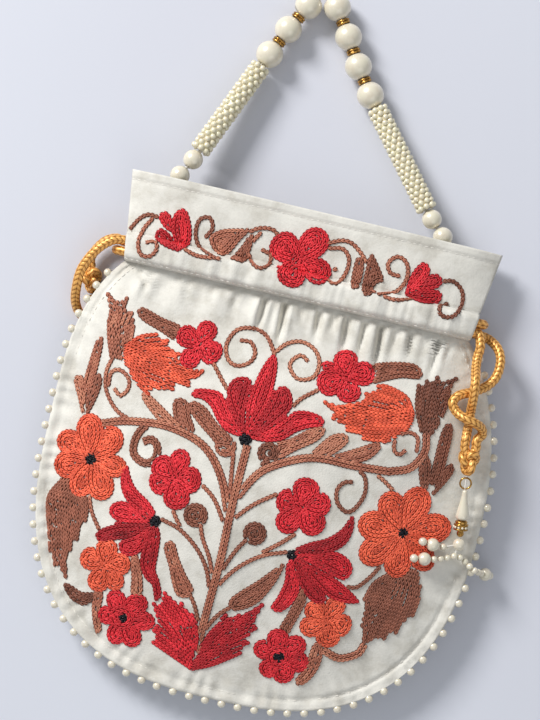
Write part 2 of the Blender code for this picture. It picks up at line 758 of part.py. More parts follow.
def tassel(side, link_at, end_at, long_line, short_line):
    """A knot, its link, a drop, a gold rondelle, a pearl and the strands under it, from the knot down."""
    knot(f"knot_{side}", *KNOTS[side])
    hub = empty(f"tassel_{side}_link", link_at)
    down = (end_at - link_at).normalized()
    upright = down.cross(Vector((0, 0, 1))).cross(down).normalized()
    link = wire_ring(f"tassel_link_{side}", 2 * LINK_RADIUS + LINK_WIRE, LINK_WIRE, 12, 5)
    place(link, link_at, upright, hub)
    pieces = (
        (drop_pearl(f"drop_pearl_{side}"), DROP_LENGTH),
        (rondelle(f"rondelle_{side}"), RONDELLE_STACK),
        (round_pearl(f"tassel_pearl_{side}", TASSEL_PEARL), TASSEL_PEARL),
    )
    at = link_at + down * (LINK_RADIUS + LINK_WIRE / 2 + GAP)
    for piece, size in pieces:
        place(piece, at + down * size / 2, -down, hub)
        at += down * (size + GAP)
    tip = (STRAND_TIP, STRAND_PEARL)
    for name, line, last in (("long", long_line, tip), ("short", short_line, ())):
        keep_parent(strand(f"strand_{name}_{side}", smooth_route(line, 0.0015), tip, last), hub)


def drawstrings():
    drawstring_channel("drawstring_channel_right", -LANE_OFFSET, 1)
    drawstring_channel("drawstring_channel_left", LANE_OFFSET, -1)
    for side, name, lane in ((1, "right", -LANE_OFFSET), (-1, "left", LANE_OFFSET)):
        for side_of, face in ((1, "front"), (-1, "back")):
            insets = (HIDDEN_END - GAP, HIDDEN_END / 2, 0, -LEG_OVERHANG)
            start = [in_casing(casing_end(side, inset), lane, side_of) for inset in insets]
            leg(f"drawstring_{face}_leg_{name}", start, LEGS[face, name])


# Routes of the drawstrings' free ends in millimetres: across the bag, up it, and the lift over what they lie on
CORD_RADIUS = CORD_DIAMETER / 2
KNOTS = {
    "right": (laid([(94.8, 27.0, 0.0)], KNOT_WIDTH / 2)[0], Vector((-0.1, 1, 0))),
    "left": (in_air([(-105.4, 71.6, 5.8)])[0], Vector((-0.25, 1, 0))),
}
LEGS = {
    ("front", "right"): laid(
        [
            (88.2, 83.0, 1.5), (88.0, 77.5, 1.0), (88.2, 72.0, 3.0), (88.8, 66.5, 6.4), (89.3, 61.5, 6.8),
            (89.9, 56.5, 4.6), (90.4, 51.5, 0.8), (90.8, 46.5, 0.2), (91.0, 41.0, 0.4),
        ],
        CORD_RADIUS,
    )
    + into_knot(*KNOTS["right"], 1, -CORD_RADIUS - GAP),
    ("back", "right"): in_air([(92.5, 87.8, 10.0), (97.5, 84.0, 14.5), (99.8, 78.0, 17.2)])
    + laid(
        [
            (99.2, 70.5, 0.8), (95.6, 65.0, 0.4), (89.0, 60.6, 0.3), (83.0, 57.6, 0.3),
            (80.8, 53.4, 0.3), (83.6, 49.4, 1.4), (88.0, 47.4, 5.6), (92.4, 46.4, 6.6), (96.8, 44.8, 4.4),
            (98.4, 41.6, 2.8),
        ],
        CORD_RADIUS,
    )
    + into_knot(*KNOTS["right"], 1, CORD_RADIUS + GAP),
    ("front", "left"): in_air(
        [
            (-98.6, 92.8, 18.6), (-103.4, 88.6, 18.6), (-107.4, 82.8, 17.4), (-110.4, 75.5, 15.8), (-111, 68, 14.0),
            (-110.6, 60.5, 8.6), (-108.0, 55.0, 3.6), (-103.9, 52.6, 2.7), (-101.6, 56.0, 3.2),
        ]
    )
    + into_knot(*KNOTS["left"], -1, 0.0),
    ("back", "left"): in_air([(-98.0, 94.6, 7.6), (-102.6, 92.4, 6.4), (-106.0, 88.0, 5.8)])
    + into_knot(*KNOTS["left"], 1, 0.0),
}


# The embroidery. Each shape returns its outlines, grown outward by a margin, for places in millimetres


def laid_out(x, y):
    """A point of the embroidery's drawing, which starts 4 mm left of the body's middle and 125 mm above it."""
    up = y + 125
    if up < DRAWN_NECK:
        return Vector(((x - 4) * STRETCH, up * BODY_HALF_HEIGHT / DRAWN_HALF_HEIGHT))
    up = NECK_Y + (up - DRAWN_NECK) / DRAWN_BAND * BAND_HEIGHT
    return Vector((centre_x(up) + x / DRAWN_MOUTH_HALF_WIDTH * half_width(up), up))


def facing_up(outline):
    twice_area = sum(a.cross(b) for a, b in zip(outline, outline[1:] + outline[:1]))
    return outline if twice_area > 0 else outline[::-1]


def disc(x, y, radius, sides=8):
    def outlines(grow):
        turns = (2 * math.pi * i / sides for i in range(sides))
        centre = laid_out(x, y)
        return [[centre + Vector((math.cos(a), math.sin(a))) * (radius * STRETCH + grow) for a in turns]]

    return outlines


def stroke(points, width, tip_width=None):
    """A band of thread rows along a smooth curve, which may narrow towards its end."""
    line = smooth_route([laid_out(*p) for p in points], 0.0066)

    def outlines(grow):
        quads, sides = [], []
        for i, here in enumerate(line):
            ahead = (line[min(i + 1, len(line) - 1)] - line[max(i - 1, 0)]).normalized()
            wide = blend(width, tip_width or width, i / (len(line) - 1)) * STRETCH / 2 + grow
            here = here + ahead * grow * ((i == len(line) - 1) - (i == 0))
            sides.append((here + ahead.orthogonal() * wide, here - ahead.orthogonal() * wide))
        for (a, b), (c, d) in zip(sides, sides[1:]):
            quads.append(facing_up([a, b, d, c]))
        return quads

    return outlines


def blade(base, tip, width):
    """A petal or a leaf: full in its middle, blunt at its base and pointed at its tip."""

    def outlines(grow):
        start, end = laid_out(*base), laid_out(*tip)
        along = (end - start).normalized()
        start, end = start - along * grow, end + along * grow
        outline = []
        for side, stops in ((1, (0, 0.35, 0.75, 1)), (-1, (0.75, 0.35, 0))):
            for t in stops:
                wide = {0: 0.45, 0.35: 1, 0.75: 0.85, 1: 0}[t] * width * STRETCH / 2 + grow
                outline.append(start.lerp(end, t) + along.orthogonal() * side * (wide if t < 1 else 0))
        return [facing_up(outline)]

    return outlines


def flower(x, y, reach, width, tips):
    """Petals from one centre, over a round middle."""
    return [disc(x, y, reach), *(blade((x, y), tip, width) for tip in tips)]


TULIP_CENTRE = [
    disc(-9, -111, 5), blade((-9, -112), (-5, -69), 13), blade((-10, -112), (-18, -82), 10),
    blade((-8, -112), (4, -83), 9), blade((-10, -110), (-39, -95), 13), blade((-8, -110), (25, -94), 13),
]
TULIP_LEFT = flower(-43, -161, 6, 8.5, [(-63, -139), (-66, -157), (-70, -174), (-54, -182)])
TULIP_LEFT.append(stroke([(-43, -161), (-40, -178), (-37, -189), (-32, -198)], 7, 2.5))
TULIP_RIGHT = flower(26, -161, 6, 10, [(50, -137), (58, -160), (64, -177), (46, -182), (23, -189)])
DAISY_LEFT_TIPS = [(-85, -118), (-70, -121), (-62, -140), (-68, -155), (-83, -158), (-97, -148), (-98, -130)]
DAISY_RIGHT_TIPS = [(80, -116), (64, -121), (54, -138), (60, -155), (77, -160), (92, -152), (97, -131)]
DAISY_LEFT = flower(-80, -138.5, 7, 12, DAISY_LEFT_TIPS)
DAISY_RIGHT = flower(76, -138.5, 7, 12, DAISY_RIGHT_TIPS)
ORANGE_LEAF_LEFT = [
    blade((-72, -97), (-45, -83), 19), blade((-66, -84), (-61, -70), 9), blade((-60, -90), (-35, -85), 11),
    blade((-72, -92), (-77, -81), 8),
]
ORANGE_LEAF_RIGHT = [
    blade((66, -96), (36, -84), 19), blade((56, -88), (51, -69), 10), blade((48, -90), (23, -86), 10),
    blade((64, -90), (68, -80), 8),
]
RED_LEAVES = [
    blade((-10, -226), (-31, -194), 17), blade((-9, -214), (-20, -196), 8),
    blade((-8, -226), (18, -190), 15), blade((-8, -210), (5, -194), 8),
]
UPPER_SCROLLS = [
    stroke([(-5, -69), (-10, -61), (-17, -58.5), (-25, -61), (-28.5, -69), (-26, -76), (-20, -77.5)], 3),
    stroke([(-5, -69), (0, -61.5), (7, -59), (14, -62), (17.5, -68), (15, -75), (9, -77)], 3),
]
SIDE_BRANCHES = [
    stroke([(-8, -150), (-15, -134), (-22, -124), (-30, -118), (-45, -114), (-62, -115), (-78, -119)], 3.4),
    stroke([(-52, -114), (-58, -117), (-61.5, -124), (-59, -131.5), (-53, -134), (-49, -129)], 3),
    stroke([(-62, -115), (-72, -113), (-80, -104), (-82, -95), (-80, -86)], 3.4),
    stroke([(-8, -144), (0, -127), (8, -120), (20, -114), (45, -111.5), (62, -111), (73, -103), (76, -90)], 3.4),
    stroke([(45, -112), (51, -116), (53.5, -124), (50, -132), (45, -134.5), (41, -130)], 3),
    stroke([(-30, -118), (-38, -109), (-46, -100)], 8, 3),
    stroke([(20, -114), (32, -108), (48, -102)], 8, 3),
]
CORNER_LEAVES = [
    blade((-80, -88), (-88, -59), 14), blade((-81, -80), (-76, -58), 9), blade((76, -92), (72, -60), 14),
    blade((77, -82), (84, -58), 9), blade((-82, -96), (-92, -120), 8), blade((76, -96), (88, -119), 8),
]
STEMS = [
    stroke([(-9, -226), (-8.5, -205), (-8, -170), (-8, -142), (-8, -112)], 3.6),
    stroke([(-10, -190), (-20, -169), (-32, -161), (-42, -160)], 3.2),
    stroke([(-6, -190), (2, -172), (12, -164), (24, -161)], 3.2),
    stroke([(-9, -215), (-14, -196), (-22, -184), (-33, -169)], 6, 5),
    stroke([(-7, -213), (-2, -198), (8, -184), (20, -168)], 6, 5),
    stroke([(-8, -156), (-18, -144), (-27, -137)], 3.4), stroke([(-8, -156), (2, -142), (14, -134)], 3.4),
    stroke([(-32, -164), (-58, -176), (-76, -178)], 3), stroke([(14, -164), (50, -176), (72, -178)], 3),
]
LOWER_LEAVES = [
    blade((-82, -200), (-88, -152), 20), blade((76, -200), (81, -156), 21),
    stroke([(-82, -196), (-70, -206), (-60, -206)], 5, 4), stroke([(78, -196), (64, -205), (50, -203)], 5, 4),
]
SMALL_FLOWERS = [
    disc(-38, -137, 9, 10), disc(24, -137, 9, 10), disc(-24, -152.5, 5), disc(5.5, -154, 5),
    disc(-60, -186, 9, 10), disc(49, -187.5, 9, 10),
]
VINE = [*SIDE_BRANCHES, *CORNER_LEAVES, *STEMS, *LOWER_LEAVES, *SMALL_FLOWERS, *UPPER_SCROLLS]
FLOWERS = {
    "tulip_centre": (TULIP_CENTRE, "red"),
    "tulip_left": (TULIP_LEFT, "red"),
    "tulip_right": (TULIP_RIGHT, "red"),
    "daisy_left": (DAISY_LEFT, "orange"),
    "daisy_right": (DAISY_RIGHT, "orange"),
    "orange_leaf_left": (ORANGE_LEAF_LEFT, "orange"),
    "orange_leaf_right": (ORANGE_LEAF_RIGHT, "orange"),
    "red_leaf_pair": (RED_LEAVES, "red"),
}
BAND_VINE = [
    stroke([(-86, -20), (-76, -16), (-66, -20), (-52, -23), (-40, -22), (-24, -17), (-8, -18)], 3.4),
    stroke([(-8, -18), (8, -15), (22, -20), (36, -22), (50, -20), (62, -18), (75, -14)], 3.4),
    blade((-62, -24), (-64, -8), 11), blade((-66, -20), (-77, -10), 8), blade((-42, -22), (-30, -9), 9),
    disc(-11, -15, 7), disc(4, -14, 7), blade((26, -22), (33, -8), 10),
    blade((48, -23), (66, -11), 14), blade((48, -21), (55, -7), 9),
]


def patch(name, shapes, surface, mat, folds, avoided=()):
    """A raised field of embroidery on a panel, cut clear of the fields beside it and creased along the folds."""
    outlines = [outline for shape in shapes for outline in shape(0.0)]
    holes = [outline for shape in avoided for outline in shape(STITCH_GAP)]
    bm = draped(bmesh.new(), outlines, (), lambda x, y: 0.0, holes=holes)
    bmesh.ops.remove_doubles(bm, verts=bm.verts[:], dist=0.0002)
    bmesh.ops.dissolve_degenerate(bm, edges=bm.edges[:], dist=0.00005)
    keep_largest(bm)
    while pinched(bm):
        bmesh.ops.delete(bm, geom=pinched(bm), context="FACES")
        keep_largest(bm)
    for point, normal in folds:
        everything = bm.verts[:] + bm.edges[:] + bm.faces[:]
        bmesh.ops.bisect_plane(bm, geom=everything, dist=0.00002, plane_co=point, plane_no=normal)
    bmesh.ops.triangulate(bm, faces=bm.faces[:])
    for vert in bm.verts:
        vert.co.z = surface(vert.co.x, vert.co.y) + STITCH_GAP
    return thicken(object_from(bm, name, mat), STITCH_HEIGHT, 1.0)


def keep_largest(bm):
    """Only the piece with the most faces stays."""
    left, best = set(bm.faces), set()
    while left:
        found, edge_front = set(), [left.pop()]
        while edge_front:
            face = edge_front.pop()
            found.add(face)
            for edge in face.edges:
                for other in edge.link_faces:
                    if other in left:
                        left.discard(other)
                        edge_front.append(other)
        best = max(best, found, key=len)
    bmesh.ops.delete(bm, geom=[f for f in bm.faces if f not in best], context="FACES")
    loose = [v for v in bm.verts if not v.link_faces]
    bmesh.ops.delete(bm, geom=loose, context="VERTS")


def pinched(bm):
    """A face to leave out where two parts of a field meet in one point only, or three on one edge."""
    for edge in bm.edges:
        if len(edge.link_faces) > 2:
            return [min(edge.link_faces, key=lambda f: f.calc_area())]
    for vert in bm.verts:
        if sum(edge.is_boundary for edge in vert.link_edges) > 2:
            return [min(vert.link_faces, key=lambda f: f.calc_area())]
    return []


def surface_of(obj):
    """Height of a sheet's own surface over any point of it."""
    tree = BVHTree.FromPolygons([v.co for v in obj.data.vertices], [p.vertices for p in obj.data.polygons])

    def height(x, y):
        hit = tree.ray_cast(Vector((x, y, 1.0)), Vector((0, 0, -1)))[0]
        return hit.z

    return height


def embroidery(front_panel, front_band):
    on_panel, on_band = surface_of(front_panel), surface_of(front_band)
    body_folds = [((i * FOLD_SPACING, 0, 0), (1, 0, 0)) for i in range(-4, 5)]
    body_folds += [((0, i * FOLD_SPACING, 0), (0, 1, 0)) for i in range(-4, 3)]
    band_folds = [((0, y, 0), (0, 1, 0)) for y in band_rows()]
    done = []
    for name, (shapes, mat) in FLOWERS.items():
        patch(f"embroidery_{name}", shapes, on_panel, mat, body_folds, done)
        done += shapes
    patch("embroidery_vine", VINE, on_panel, "brown", body_folds, done)
    patch("embroidery_band_vine", BAND_VINE, on_band, "brown", band_folds)


def start_scene():
    for old in list(bpy.data.objects):
        bpy.data.objects.remove(old, do_unlink=True)
    collection = bpy.data.collections.new("potli_bag")
    bpy.context.scene.collection.children.link(collection)


def main():
    start_scene()
    front_panel = panel("front_panel", front_panel_height, 1)
    panel("back_panel", back_panel_height, -1)
    lining()
    front_band = band("front_band", front_band_height, 1)
    band("back_band", back_band_height, -1)
    pearl_edging()
    handle()
    handle_anchor("handle_anchor_left", LEFT_ENDS[0])
    handle_anchor("handle_anchor_right", RIGHT_ENDS[0])
    drawstrings()
    right_strands = (
        [(77.6, -24.4), (84, -23.6), (90, -22.6), (96, -20.6), (100.6, -18.9), (105.6, -21.0), (110.6, -24), (121, -26)],
        [(80.0, -15.2), (87.5, -15.9), (94.8, -15.9)],
    )
    left_strands = (
        [(-97, 15), (-92, 25), (-88.6, 33.2), (-84.5, 25), (-86, 10)],
        [(-103.7, 25.6), (-97.7, 29.5), (-91.3, 34.0)],
    )
    on_bag = [laid([(x, y, -0.5) for x, y in line], STRAND_PEARL / 2) for line in right_strands]
    on_table = [[Vector((x * STRETCH, y * MM, STRAND_PEARL / 2 + GAP)) for x, y in line] for line in left_strands]
    tassel("right", below_knot("right"), laid([(100.5, -17, 0.0)], TASSEL_PEARL / 2)[0], *on_bag)
    tassel("left", *in_air([(-97.5, 68.0, 4.0), (-90.0, 40.0, 3.7)]), *on_table)
    embroidery(front_panel, front_band)


main()
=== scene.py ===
"""Looks of an embroidered drawstring bag with a beaded handle, lying on its back.

X runs across the bag, Y from its round bottom to its mouth, and Z up from the surface that it lies on.
The embroidery is laid out in millimetres from the middle of the band's top stitching.
"""

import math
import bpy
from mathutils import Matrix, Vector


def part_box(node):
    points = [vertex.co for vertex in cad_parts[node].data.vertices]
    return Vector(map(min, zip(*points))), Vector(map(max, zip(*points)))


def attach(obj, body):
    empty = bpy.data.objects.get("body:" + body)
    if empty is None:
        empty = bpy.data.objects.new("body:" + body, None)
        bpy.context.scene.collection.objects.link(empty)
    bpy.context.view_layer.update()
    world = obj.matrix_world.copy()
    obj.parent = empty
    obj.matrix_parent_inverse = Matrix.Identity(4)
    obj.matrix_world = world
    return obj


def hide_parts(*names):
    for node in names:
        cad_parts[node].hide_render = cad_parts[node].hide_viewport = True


bl_info = {
    "name": "Embroidered drawstring bag",
    "version": (1, 0, 0),
    "blender": (4, 5, 0),
    "location": "View3D > Sidebar > Drawstring bag",
    "description": "Dresses the bag in velvet, chain stitch, pearls and braided cord",
    "category": "Object",
}

import bmesh
import bpy
from mathutils import Matrix, Vector, noise

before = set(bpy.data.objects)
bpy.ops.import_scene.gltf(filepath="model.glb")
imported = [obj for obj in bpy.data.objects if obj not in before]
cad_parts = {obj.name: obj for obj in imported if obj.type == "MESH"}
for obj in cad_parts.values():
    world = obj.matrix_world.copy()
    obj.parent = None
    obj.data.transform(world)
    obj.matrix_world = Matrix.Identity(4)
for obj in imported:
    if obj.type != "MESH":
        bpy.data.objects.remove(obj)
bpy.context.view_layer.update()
MM = 0.001


def middle(node):
    low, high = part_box(node)
    return (low + high) / 2


def width_of(node):
    low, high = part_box(node)
    return max(high - low)


# Sizes that the frame gives, in metres
BODY_HALF_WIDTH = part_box("front_panel")[1].x
BODY_HALF_HEIGHT = -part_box("front_panel")[0].y
NECK_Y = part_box("front_band")[0].y
BAND_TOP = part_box("front_band")[1].y
SEAM_Z = middle("pearl_edging").z
HANDLE_PEARL = width_of("handle_pearl_2")
END_PEARL = width_of("end_pearl_left_2")
TASSEL_PEARL = width_of("tassel_pearl_right")

# Sizes of the cloth that the frame doesn't give, the same as the solids have
BODY_ROUNDNESS = 2.6
CASING_HEIGHT = 0.014
BAND_TOP_HALF_WIDTH = 0.093
BAND_SHIFT = -0.004
HEM_HEIGHT = 0.004
HEM_THICKENING = 0.0005
SEAM_FLANGE = 0.005
CLOTH = 0.0012
LINING = 0.0006
GAP = 0.0003
FRONT_BULGE = 0.0205
MOUTH_FLARE = 0.0015
FLAT_BACK = 0.55
LINING_REACH = 0.95
PANEL_GRID, BAND_GRID, LINING_GRID = (140, 140), (170, 50), (96, 40)
PANEL_TUCK = 0.003
LINING_ROOM = 0.0012
GATHER_DEPTH = 0.0022
GATHER_SHOWN = 0.7
GATHER_LENGTH = 0.027
STATIONS = 10
BORDER_REACH = 0.016
PUCKER_DEPTH = 0.0011
HEM_STITCHING = 0.0006
CORD_DIAMETER = 0.0048
RIM = CLOTH + GAP / 2
NECK_RISE = 0.0058
TUNNEL_RISE = CORD_DIAMETER + 2 * GAP
CASING_Y = NECK_Y + CASING_HEIGHT / 2
CASING_TOP = NECK_Y + CASING_HEIGHT
BAND_HEIGHT = BAND_TOP - NECK_Y
OUTLINE_STEPS = 480
LAYOUT_X = -0.004
LAYOUT_Y = 0.125

# Sizes of the fine detail
STITCH_LENGTH = 0.0021
STITCH_WIDTH = 0.0019
STITCH_SPACING = 0.00132
# Heights over the cloth of the stitches and of the disc of painted shade under them
STITCH_LIFT, SHADE_DISC_LIFT = 0.00040, 0.00008
LOOP_LEAN = math.radians(-14)
SLOPE_STEP = 0.0004
ROUTE_STEP = 0.8
ROW_TOLERANCE = 0.45
PATCH_STEP = 0.6
PETAL_FULLEST = 0.62
TOOTH = 3.2
DYE, DYE_CHANGE = 0.55, 0.10
RUNNING_STITCH = (0.00030, 0.00105, 0.00022)
TOPSTITCH_PITCH, TOPSTITCH_LIFT = 0.0030, 0.00005
BRAID_PITCH = 0.0024
BRAID_COLUMNS = 6
BRAID_RELIEF = 0.14
EDGE_PEARL = 0.0042
EDGE_PEARL_PITCH = 0.0082
EDGE_PEARL_TUCK = 0.0009
SLEEVE_DIAMETER = 0.0110
SLEEVE_BEAD = 0.0030
SLEEVE_GAP = 0.0004
BEAD_ROOM, NET_PITCH = 1.03, 0.86
SPACER, RIM_OFFSET = (0.00295, 0.0012), 0.00062
STRAND_TIP, STRAND_PEARL, STRAND_BEAD, TASSEL_THREAD = 0.0042, 0.0066, 0.0034, 0.0008


def linear(red, green, blue):
    """A colour as the eye sees it on a screen, in the linear values that shaders use."""
    return tuple(c / 12.92 if c <= 0.04045 else ((c + 0.055) / 1.055) ** 2.4 for c in (red, green, blue))


def smoothstep(low, high, value):
    t = min(1.0, max(0.0, (value - low) / (high - low)))
    return t * t * (3 - 2 * t)


def blend(a, b, t):
    return a + (b - a) * t


def size_property(name, description, default):
    return bpy.props.FloatProperty(name=name, description=description, default=default, min=0, unit="LENGTH")


def colour_property(name, description, *screen_colour):
    default = linear(*screen_colour)
    return bpy.props.FloatVectorProperty(
        name=name, description=description, default=default, size=3, min=0, max=1, subtype="COLOR"
    )


class BagSizes(bpy.types.PropertyGroup):
    stitch_length: size_property("Stitch length", "Length of one chain stitch", STITCH_LENGTH)
    stitch_width: size_property("Stitch width", "Width of one row of chain stitch", STITCH_WIDTH)
    cord_diameter: size_property("Cord diameter", "Thickness of the braided drawstrings", CORD_DIAMETER)
    edge_pearl: size_property("Edge pearl", "Diameter of the pearls round the seam", EDGE_PEARL)
    sleeve_bead: size_property("Sleeve bead", "Diameter of the beads of the handle's sleeves", SLEEVE_BEAD)


class BagColours(bpy.types.PropertyGroup):
    velvet: colour_property("Velvet", "The bag's outside", 0.875, 0.86, 0.82)
    satin: colour_property("Lining", "The bag's inside", 0.90, 0.88, 0.84)
    pearl: colour_property("Pearl", "Pearls of the handle, edging and tassels", 0.90, 0.865, 0.78)
    sleeve: colour_property("Sleeve beads", "Small beads of the handle's sleeves", 0.92, 0.885, 0.77)
    gold: colour_property("Gold", "Rings and rondelles", 0.80, 0.62, 0.34)
    cord: colour_property("Cord", "The drawstrings' braid", 0.93, 0.68, 0.36)
    red: colour_property("Red thread", "Tulips, small flowers and the leaf pair", 0.80, 0.17, 0.20)
    orange: colour_property("Orange thread", "Daisies and the serrated leaves", 0.86, 0.36, 0.25)
    brown: colour_property("Brown thread", "Vines, buds and dark leaves", 0.68, 0.42, 0.33)
    black: colour_property("Black thread", "Middles of the flowers", 0.05, 0.05, 0.08)
    table: colour_property("Table", "The surface that the bag lies on", 0.845, 0.855, 0.885)


# Finishes. Each has its shader's sockets, the pattern that its colour runs over (waves to the metre, detail,
# roughness), the colour's stops (place on the pattern, share of the colour, tint) and its relief (waves to the metre,
# detail, strength, depth). "carried" names a value of the mesh that takes the pattern's place, or is added to it
FINISHES = {
    # Short pile that lies this way and that: painted sheen and painted shade, silvery and grey patches put into its
    # colour by a pattern, where the pile would catch the light and where it would not
    "velvet": {
        "sockets": {"Roughness": 0.7, "Sheen Weight": 0.3, "Sheen Roughness": 0.3, "Specular IOR Level": 0.25},
        "pattern": (70.0, 7.0, 0.65),
        "stops": ((0.30, 0.74, 1.0, 0.98, 0.95), (0.43, 0.90, 1.0, 0.99, 0.97), (0.52, 1.0), (0.66, 1.10)),
        "relief": (1100.0, 4.0, 0.35, 0.0005),
    },
    "satin": {
        "sockets": {"Roughness": 0.45, "Sheen Weight": 0.15},
        "pattern": (700.0, 1.0),
        "stops": ((0.35, 0.92), (0.65, 1.0)),
        "relief": (700.0, 1.0, 0.15, 0.0002),
    },
    "pearl": {
        "sockets": {"Roughness": 0.30, "Metallic": 0.1, "Coat Weight": 0.9, "Coat Roughness": 0.10},
        "pattern": (260.0, 2.0),
        "stops": ((0.3, 0.94, 1.0, 0.97, 0.95), (0.5, 1.0), (0.7, 1.0, 0.98, 1.0, 0.97)),
        "relief": (1500.0, 1.0, 0.04, 0.0002),
    },
    "gold": {
        "sockets": {"Roughness": 0.26, "Metallic": 1.0},
        "pattern": (900.0, 3.0),
        "stops": ((0.35, 0.45, 1.0, 0.85, 0.6), (0.6, 1.0)),
        "relief": (900.0, 3.0, 0.2, 0.0002),
    },
    # Silky embroidery thread: its shade changes from row to row, and fine strands run through it
    "thread": {
        "sockets": {"Roughness": 0.5, "Specular IOR Level": 0.35},
        "pattern": (160.0, 4.0),
        "carried": "dye",
        "stops": ((0.25, 0.40), (0.85, 1.0), (1.3 / 1.4, 1.15), (1.0, 1.4, 1.0, 1.15, 1.15)),
        "relief": (2600.0, 2.0, 0.5, 0.0003),
    },
    # Painted shade between the stitches: a dark disc under each stitch, in a darkened copy of its thread's colour,
    # where the cloth between the loops lies in shade
    "ground": {"sockets": {"Roughness": 0.9}, "pattern": (1800.0, 2.0), "stops": ((0.3, 0.6), (0.7, 1.3))},
    # Braided metallic thread, its colour painted from the braid's relief: painted shade, dark and brown, in the grooves
    # between its plaits, and a painted highlight, pale, on their crests
    "cord": {
        "sockets": {"Roughness": 0.34, "Metallic": 0.35},
        "carried": "relief",
        "stops": ((0.25, 0.22, 1.0, 0.62, 0.35), (0.55, 0.75, 1.0, 0.9, 0.7), (0.9, 1.15, 1.0, 1.08, 1.2)),
        "relief": (2400.0, 2.0, 0.35, 0.0002),
    },
    "table": {
        "sockets": {"Roughness": 0.9},
        "pattern": (2.5, 1.0),
        "stops": ((0.3, 0.93, 1.0, 0.98, 0.99), (0.7, 1.0)),
    },
}
FINISH_OF = {"sleeve": "pearl", "red": "thread", "orange": "thread", "brown": "thread", "black": "thread"}
SLOTS = {
    "velvet": "velvet", "satin": "lining_satin", "pearl": "pearl", "sleeve": "pearl", "gold": "gold_metal",
    "cord": "gold_cord", "red": "red_thread", "orange": "orange_thread", "brown": "brown_thread",
    "black": "brown_thread",
}
# How dark the painted shade under the stitches is, as a share of the thread's colour
PAINTED_SHADE_SHARE = 0.36
DYE_PATTERN = 0.7


def shade(colour, share, *tint):
    return tuple(min(1.0, c * share * t) for c, t in zip(colour, tint or (1.0, 1.0, 1.0)))


def set_sockets(node, values):
    for socket, value in values.items():
        node.inputs[socket].default_value = value


def finish(name, colour, sockets, stops, pattern=None, carried=None, relief=None):
    made = bpy.data.materials.new(name)
    made.use_nodes = True
    made.diffuse_color = (*colour, 1.0)
    nodes, link = made.node_tree.nodes, made.node_tree.links.new
    shader = nodes["Principled BSDF"]
    set_sockets(shader, {"Base Color": (*colour, 1.0), **sockets})

    def waves(*values):
        """A pattern on the piece's own coordinates."""
        place, found = nodes.new("ShaderNodeTexCoord"), nodes.new("ShaderNodeTexNoise")
        set_sockets(found, dict(zip(("Scale", "Detail", "Roughness"), values)))
        link(place.outputs["Object"], found.inputs["Vector"])
        return found.outputs["Fac"]

    source = waves(*pattern) if pattern else None
    if carried:
        value = nodes.new("ShaderNodeAttribute")
        value.attribute_name = carried
        if pattern:
            both = nodes.new("ShaderNodeMath")
            both.operation = "MULTIPLY_ADD"
            link(source, both.inputs[0])
            both.inputs[1].default_value = DYE_PATTERN
            link(value.outputs["Fac"], both.inputs[2])
            source = both.outputs["Value"]
        else:
            source = value.outputs["Fac"]
    ramp = nodes.new("ShaderNodeValToRGB")
    elements = ramp.color_ramp.elements
    while len(elements) < len(stops):
        elements.new(0.5)
    for element, (position, share, *tint) in zip(elements, stops):
        element.position = position
        element.color = (*shade(colour, share, *tint), 1.0)
    link(source, ramp.inputs["Fac"])
    link(ramp.outputs["Color"], shader.inputs["Base Color"])
    if relief:
        *values, strength, depth = relief
        bump = nodes.new("ShaderNodeBump")
        set_sockets(bump, {"Strength": strength, "Distance": depth})
        link(waves(*values), bump.inputs["Height"])
        link(bump.outputs["Normal"], shader.inputs["Normal"])
    return made


def material(colour_name):
    """The finish of one of the bag's colours, or of the painted shade under its stitches, made once."""
    name, base = f"bag_{colour_name}", colour_name.removesuffix("_ground")
    if name in bpy.data.materials:
        return bpy.data.materials[name]
    colour = tuple(getattr(bpy.context.scene.bag_colours, base))
    # A darkened copy of the thread's colour: the painted shade of the discs under the stitches
    if base != colour_name:
        return finish(name, shade(colour, PAINTED_SHADE_SHARE), **FINISHES["ground"])
    return finish(name, colour, **FINISHES[FINISH_OF.get(base, base)])


def flat_grid(across, up, half_width=1):
    bm = bmesh.new()
    bmesh.ops.create_grid(bm, x_segments=across, y_segments=up, size=half_width)
    return bm


def template(bm, name="template"):
    mesh = bpy.data.meshes.new(name)
    bm.to_mesh(mesh)
    bm.free()
    return mesh


def added(bm, name, colour_name):
    """The mesh as an object in its finish."""
    made = bpy.data.objects.new(name, template(bm, name))
    made.data.shade_smooth()
    made.data.materials.append(material(colour_name))
    bpy.context.scene.collection.objects.link(made)
    return made


def finished(bm, name, colour_name, *replaced, body="bag", slot=None):
    """A piece, which rides on a body and stands for its CAD nodes, which are hidden. The slot, its colour's unless
    another is given, is worked out but not used.
    """
    made = added(bm, name, colour_name)
    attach(made, body)
    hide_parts(*replaced)
    slot = slot or (replaced and SLOTS[colour_name])
    return made


def thicken(obj, thickness):
    solidify = obj.modifiers.new("thickness", "SOLIDIFY")
    solidify.thickness = thickness
    solidify.offset = -1.0
    return obj


# The form of the bag, the same as the solids have


def centre_x(y):
    """The band lies a little to one side of the body."""
    return BAND_SHIFT * smoothstep(0, NECK_Y, y)


def half_width(y):
    at = min(y, NECK_Y)
    share = min(1.0, abs(at) / BODY_HALF_HEIGHT) ** BODY_ROUNDNESS
    body = BODY_HALF_WIDTH * (1 - share) ** (1 / BODY_ROUNDNESS)
    return blend(body, BAND_TOP_HALF_WIDTH, max(0.0, y - NECK_Y) / BAND_HEIGHT)


def share_of_radius(x, y):
    """0 on the centre line and 1 on the outline."""
    if y < 0:
        p = BODY_ROUNDNESS
        return ((abs(x) / BODY_HALF_WIDTH) ** p + (abs(y) / BODY_HALF_HEIGHT) ** p) ** (1 / p)
    return abs(x - centre_x(y)) / max(1e-6, half_width(y))


def inside_flange(x, y):
    """The same share, measured to the inner edge of the flat seam."""
    flange = SEAM_FLANGE / BODY_HALF_WIDTH * (1 - smoothstep(0, NECK_Y, y))
    return min(1.0, share_of_radius(x, y) / (1 - flange))


